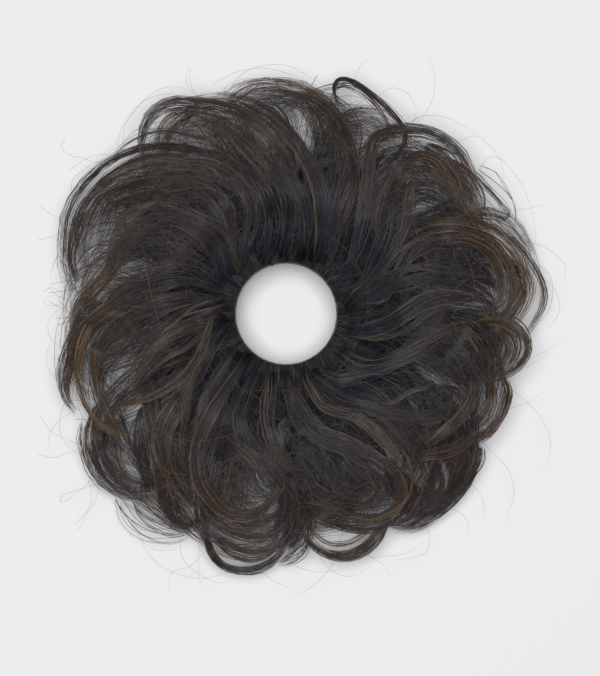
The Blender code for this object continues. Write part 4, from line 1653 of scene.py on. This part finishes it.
# Hairs that stand clear of the edge, by their points in the photograph
LOOSE_HAIRS = (
    ((405, 135), (419, 120), (431, 103), (435, 81), (430, 60), (425, 46)),
    ((512, 390), (528, 403), (541, 418), (550, 439), (548, 461), (539, 475)),
    ((480, 440), (495, 454), (509, 471), (514, 494), (504, 526)),
    ((490, 418), (509, 409), (528, 403), (544, 391)),
    ((355, 545), (373, 558), (383, 564), (392, 578)),
    ((370, 558), (392, 556), (410, 552), (423, 540)),
    ((38, 454), (54, 458), (64, 454), (80, 450)),
    ((40, 416), (50, 430), (66, 440), (86, 446)),
    ((59, 502), (66, 494), (97, 484), (118, 478)),
    ((74, 525), (92, 506), (98, 492), (104, 476)),
    ((140, 540), (152, 558), (167, 570), (195, 578), (221, 575), (240, 566)),
    ((126, 505), (133, 518), (143, 542), (160, 551), (184, 548)),
    ((66, 137), (61, 146), (69, 155), (83, 158), (93, 162), (116, 160)),
    ((188, 67), (186, 81), (190, 88), (195, 94), (206, 104)),
    ((191, 68), (190, 80), (195, 92), (214, 104)),
    ((118, 160), (123, 139), (126, 124), (143, 101), (160, 89), (178, 87), (195, 94)),
    ((115, 158), (121, 130), (138, 106), (158, 95), (184, 95), (204, 103)),
    ((40, 206), (50, 213), (61, 220), (76, 226)),
    ((38, 240), (54, 236), (69, 229), (84, 224)),
    ((44, 292), (52, 288), (62, 294), (60, 304), (48, 305), (45, 300), (56, 296), (74, 306)),
    ((86, 216), (74, 200), (72, 182), (86, 168), (106, 160), (126, 164)),
    ((70, 170), (84, 160), (98, 155), (114, 155)),
    ((213, 84), (236, 72), (262, 68), (290, 74), (318, 86)),
    ((228, 94), (240, 76), (262, 66), (288, 66), (312, 78), (330, 90)),
    ((352, 92), (356, 76), (362, 64), (374, 58)),
    ((376, 98), (392, 88), (408, 94), (416, 110), (412, 128)),
    ((402, 126), (424, 116), (448, 118), (470, 130), (486, 140)),
    ((458, 142), (474, 136), (486, 143), (500, 160), (503, 182)),
    ((480, 170), (488, 158), (502, 160), (520, 182), (530, 206), (536, 236), (530, 250)),
    ((514, 210), (530, 208), (548, 203)),
    ((520, 240), (542, 246), (560, 258), (566, 272), (562, 284)),
    ((548, 280), (556, 292), (560, 308), (552, 324), (538, 334)),
    ((532, 262), (548, 272), (553, 290), (548, 312), (532, 330)),
    ((516, 366), (536, 356), (556, 345), (566, 338)),
    ((500, 380), (528, 366), (550, 352)),
    ((470, 482), (480, 494), (484, 508), (482, 522)),
    ((450, 508), (462, 514), (468, 524), (466, 536)),
    ((424, 524), (430, 536), (426, 552), (412, 558), (394, 560)),
    ((396, 528), (412, 524), (436, 522), (456, 512)),
    ((336, 560), (324, 576), (310, 588), (292, 598)),
    ((320, 558), (334, 572), (352, 576), (372, 566)),
    ((284, 552), (296, 566), (318, 572), (344, 570)),
    ((262, 572), (276, 582), (286, 586), (292, 592)),
    ((208, 548), (190, 566), (172, 572), (168, 588), (170, 600)),
    ((180, 536), (182, 556), (196, 572), (216, 582), (234, 582)),
    ((200, 540), (198, 560), (200, 580), (206, 594)),
    ((88, 480), (92, 498), (84, 520), (76, 532)),
    ((96, 476), (80, 490), (64, 502), (60, 496), (66, 488)),
    ((72, 412), (60, 420), (50, 434), (48, 452)),
    ((66, 386), (54, 378), (46, 362), (50, 344), (62, 330)),
    ((66, 350), (52, 340), (48, 324), (56, 312), (72, 306)),
    ((70, 392), (62, 410), (60, 430), (68, 446), (84, 456)),
)


@dataclass
class LooseHairs(HairGroup):
    """Fine hairs that stand clear of the edge, where the photograph shows them."""

    lines: tuple[Pixels, ...] = LOOSE_HAIRS
    root_levels: tuple[float, float] = (0.5, 0.9)
    tip_levels: tuple[float, float] = (0.3, 0.9)
    tint: float = 0.4

    NAME = "loose_hairs"
    SEED = 31
    STYLE = StrandStyle(
        strands=1, radius=0.000042, frizz=0.0, tint_spread=0.1, shortest=0.995, smoothness=3
    )

    def hair(self, pixels: Pixels, random: np.random.Generator) -> Guide:
        """One hair, kept within reach of the CAD box."""
        line = smooth_line(np.array(pixels, float), 2 * HAIR_POINTS)
        root_level, tip_level = random.uniform(*self.root_levels), random.uniform(*self.tip_levels)
        points = plan_point(line, np.linspace(root_level, tip_level, len(line)))
        low = np.array(cad_bounds[0][:2]) - LOOSE_REACH
        high = np.array(cad_bounds[1][:2]) + LOOSE_REACH
        points[:, :2] = np.clip(points[:, :2], low, high)
        thin = np.full(len(line), HAIR_PLAY)
        return Guide(points, plan_across(points), thin, thin, tint=self.tint)

    def guides(self, random: np.random.Generator) -> list[Guide]:
        """Its hairs, in the table's order."""
        return [self.hair(pixels, random) for pixels in self.lines]


@dataclass
class Header:
    """The stitched strip at the root of one weft, round the elastic."""

    name: str
    from_deg: float
    to_deg: float
    flange_deg: float
    strip: bpy.types.Material
    thread: bpy.types.Material

    STEPS = 144
    ARC_STEPS = 8
    STITCHES = 110
    SEAM_DEG = 24  # from the flange to the row of stitches

    def profile(self) -> np.ndarray:
        """Its section, as distances out and up from the cord's middle."""
        inner = ELASTIC_CORD_RADIUS + SEAT_GAP
        outer = inner + HEADER_WALL
        half_deg = math.degrees(HEADER_WALL / 2 / outer)
        low, high = self.flange_deg - half_deg, self.flange_deg + half_deg
        arc = np.linspace(self.from_deg, self.to_deg, self.ARC_STEPS + 1)
        outline = [polar(angle, inner) for angle in arc]
        outline += [polar(angle, outer) for angle in arc[::-1] if angle > high]
        outline += [polar(high, outer), polar(high, outer + HEADER_FLANGE)]
        outline += [polar(low, outer + HEADER_FLANGE), polar(low, outer)]
        outline += [polar(angle, outer) for angle in arc[::-1] if angle < low]
        return np.array(outline)

    def build(self, tree: "StitchTree") -> None:
        """Builds the strip and the row of stitches along it."""
        rings = turned(self.profile(), self.STEPS)
        dressed(new_tube(self.name, rings, self.strip, closed=True), Slot.ELASTIC)
        out, up = polar(self.flange_deg + self.SEAM_DEG, ELASTIC_CORD_RADIUS + SEAT_GAP + HEADER_WALL)
        row = ELASTIC_RING_RADIUS + out, ELASTIC_HEIGHT + up
        dressed(tree.sew(self.name + "_stitches", *row, self.STITCHES, self.thread), Slot.ELASTIC)


def turned(outline: np.ndarray, steps: int) -> np.ndarray:
    """Rings of points, one outline turned round the ring's axis.

    Args:
        outline: distances out and up from the elastic cord's middle.
        steps: how many rings.

    Returns:
        An array of rings, points and places.
    """
    rings = []
    for step in range(steps):
        angle = math.tau * step / steps
        out = ELASTIC_RING_RADIUS + outline[:, 0]
        x, y = out * math.cos(angle) + RING_CENTRE[0], out * math.sin(angle) + RING_CENTRE[1]
        rings.append(np.column_stack((x, y, ELASTIC_HEIGHT + outline[:, 1])))
    return np.array(rings)


class StitchTree:
    """Geometry Nodes tree that sews slanting stitches round a circle."""

    LENGTH = 0.0013
    RADIUS = 0.00016
    SLANT = 0.6
    SIDES = 6
    ROW_STEPS = 96

    def __init__(self) -> None:
        """Builds the tree."""
        kinds = {"Stitches": "Int", "Length": "Float", "Radius": "Float", "Material": "Material"}
        self.graph = graph = ShapeGraph("stitches_round_ring", kinds)
        line = graph.out("GeometryNodeMeshToCurve", {"Mesh": graph.given("Geometry")})
        spots = graph.node("GeometryNodeCurveToPoints", {"Curve": line, "Count": graph.given("Stitches")})
        ends = {}
        for name, share in (("Start", -0.5), ("End", 0.5)):
            along = graph.math("MULTIPLY", graph.given("Length"), share)
            aside = graph.math("MULTIPLY", along, self.SLANT)
            ends[name] = graph.out("ShaderNodeCombineXYZ", {"X": along, "Y": aside})
        stitch = graph.out("GeometryNodeCurvePrimitiveLine", ends)
        section = {"Resolution": self.SIDES, "Radius": graph.given("Radius")}
        profile = graph.out("GeometryNodeCurvePrimitiveCircle", section)
        thread = graph.out(
            "GeometryNodeCurveToMesh", {"Curve": stitch, "Profile Curve": profile, "Fill Caps": True}
        )
        tangent = graph.out("FunctionNodeAlignEulerToVector", {"Vector": spots.outputs["Tangent"]}, axis="X")
        sewn = graph.out(
            "GeometryNodeInstanceOnPoints",
            {"Points": spots.outputs["Points"], "Instance": thread, "Rotation": tangent},
        )
        graph.finish(sewn, graph.given("Material"))

    def sew(
        self, name: str, out: float, height: float, count: int, material: bpy.types.Material
    ) -> bpy.types.Object:
        """Sews one row.

        Args:
            name: the piece's name.
            out: the row's distance from the ring's middle.
            height: its height.
            count: how many stitches.
            material: the thread's finish.

        Returns:
            The piece, with no modifier left.
        """
        steps = self.ROW_STEPS
        points = [(*(RING_CENTRE + polar(360 * step / steps, out)), height) for step in range(steps)]
        edges = [(step, (step + 1) % steps) for step in range(steps)]
        mesh = bpy.data.meshes.new(name)
        mesh.from_pydata(points, edges, [])
        values = {"Stitches": count, "Length": self.LENGTH, "Radius": self.RADIUS}
        return self.graph.applied(new_piece(name, mesh), values, material)


@dataclass
class Elastic:
    """The round elastic cord, in its braided cover."""

    finish: bpy.types.Material
    steps: int = 180
    sides: int = 16

    def build(self) -> None:
        """Builds the cord in place of the plain ring."""
        angles = [360 * side / self.sides for side in range(self.sides)]
        outline = np.array([polar(angle, ELASTIC_CORD_RADIUS) for angle in angles])
        cord = new_tube("elastic_cord", turned(outline, self.steps), self.finish, closed=True)
        dressed(cord, Slot.ELASTIC, "elastic_ring")


@dataclass(frozen=True)
class FloorFinish:
    """The pale floor's material."""

    colour: Colour = (0.81, 0.81, 0.82)
    roughness: float = 0.9
    sheen: float = 0.1

    def material(self) -> bpy.types.Material:
        """Builds the material."""
        values = {"Roughness": self.roughness, "Specular IOR Level": self.sheen}
        return ShaderGraph("pale_floor").shaded({"Base Color": (*self.colour, 1.0), **values})


@dataclass(frozen=True)
class Studio:
    """Floor, soft light and the camera straight above."""

    floor_side: float = 6.0
    world_colour: Colour = (0.97, 0.98, 1.0)
    world_strength: float = 0.07
    light_place: tuple[float, float, float] = (-0.03, 0.04, 1.35)
    light_side: float = 0.60
    light_power: float = 19.1
    clip_start: float = 0.01
    clip_end: float = 10.0

    def build(self) -> None:
        """Builds the floor, the lights and the camera."""
        self.floor()
        self.lights()
        self.camera()

    def floor(self) -> None:
        """Lays a wide pale plane just under the hair."""
        side = self.floor_side / 2
        mesh = bpy.data.meshes.new("floor")
        corners = [(-side, -side, 0), (side, -side, 0), (side, side, 0), (-side, side, 0)]
        mesh.from_pydata(corners, [], [(0, 1, 2, 3)])
        mesh.materials.append(FloorFinish().material())
        new_piece("floor", mesh)

    def lights(self) -> None:
        """Hangs one wide soft light overhead and fills the rest with pale surroundings."""
        world = bpy.data.worlds.new("studio")
        world.use_nodes = True
        background = world.node_tree.nodes["Background"]
        background.inputs["Color"].default_value = (*self.world_colour, 1.0)
        background.inputs["Strength"].default_value = self.world_strength
        bpy.context.scene.world = world
        data = bpy.data.lights.new("soft_light", "AREA")
        data.shape = "SQUARE"
        data.size = self.light_side
        data.energy = self.light_power
        light = bpy.data.objects.new("soft_light", data)
        light.location = self.light_place
        light.rotation_euler = (-Vector(self.light_place)).to_track_quat("-Z", "Y").to_euler()
        bpy.context.scene.collection.objects.link(light)

    def camera(self) -> None:
        """Sets the camera above the picture's middle, with the photograph's top at +Y."""
        data = bpy.data.cameras.new("camera")
        data.lens = LENS
        data.sensor_width = SENSOR
        data.clip_start = self.clip_start
        data.clip_end = self.clip_end
        camera = bpy.data.objects.new("camera", data)
        camera.location = (*VIEW_CENTRE, FOCUS_HEIGHT + CAMERA_DISTANCE)
        bpy.context.scene.collection.objects.link(camera)
        bpy.context.scene.camera = camera
        bpy.context.scene.view_settings.view_transform = "Standard"


def main() -> None:
    """Builds everything in order."""
    logging.basicConfig(level=logging.INFO, format="%(name)s %(message)s")
    tree = StrandTree()
    hair = HairFinish("dark_brown_hair").material()
    # the curls' cores get a near-black finish: painted shade for the deep gaps between strands
    inside = DenseHairShadeFinish("inside_hair_painted_shade").material()
    loose = HairFinish("loose_hair", dark=(0.05, 0.045, 0.045)).material()
    full = StrandStyle(strands=14, radius=0.00010, shortest=0.55)
    thin = StrandStyle(strands=8, radius=0.00010, shortest=0.55)
    Weft("lower_weft", 0.00, 0.34, -FLANGE_DEG, LOWER_CURLS, tree, hair, 0.26, 1, full).build(inside)
    Weft("middle_weft", 0.34, 0.67, 0, MIDDLE_CURLS, tree, hair, 0.28, 2, full).build(inside)
    Weft(
        "upper_weft", 0.64, 0.92, FLANGE_DEG, UPPER_CURLS, tree, hair, 0.30, 3, thin, wraps_ring=True
    ).build(inside)
    ShownLocks("upper_left_lock", UPPER_LEFT_LOCKS, tree, hair, 4).build()
    ShownLocks("upper_right_lock", UPPER_RIGHT_LOCKS, tree, hair, 5).build()
    ShownLocks("lower_right_lock", LOWER_RIGHT_LOCKS, tree, hair, 6).build()
    ShownLocks("lower_left_lock", LOWER_LEFT_LOCKS, tree, hair, 7).build()
    Backing(tree, hair).build()
    RootHair(tree, hair).build()
    StrayHairs(tree, hair).build()
    LooseHairs(tree, loose).build()
    strip = ThreadFinish("header_strip", (0.022, 0.018, 0.017), 260.0, 12.0).material()
    thread = HairFinish("header_thread", roughness=0.6).material()
    stitches = StitchTree()
    Header("lower_header", -160, -42, -FLANGE_DEG, strip, thread).build(stitches)
    Header("middle_header", -33, 33, 0, strip, thread).build(stitches)
    Header("upper_header", 42, 160, FLANGE_DEG, strip, thread).build(stitches)
    Elastic(ThreadFinish("elastic_cover", (0.020, 0.020, 0.023), 150.0, 16.0).material()).build()
    Studio().build()


if __name__ == "__main__":
    main()
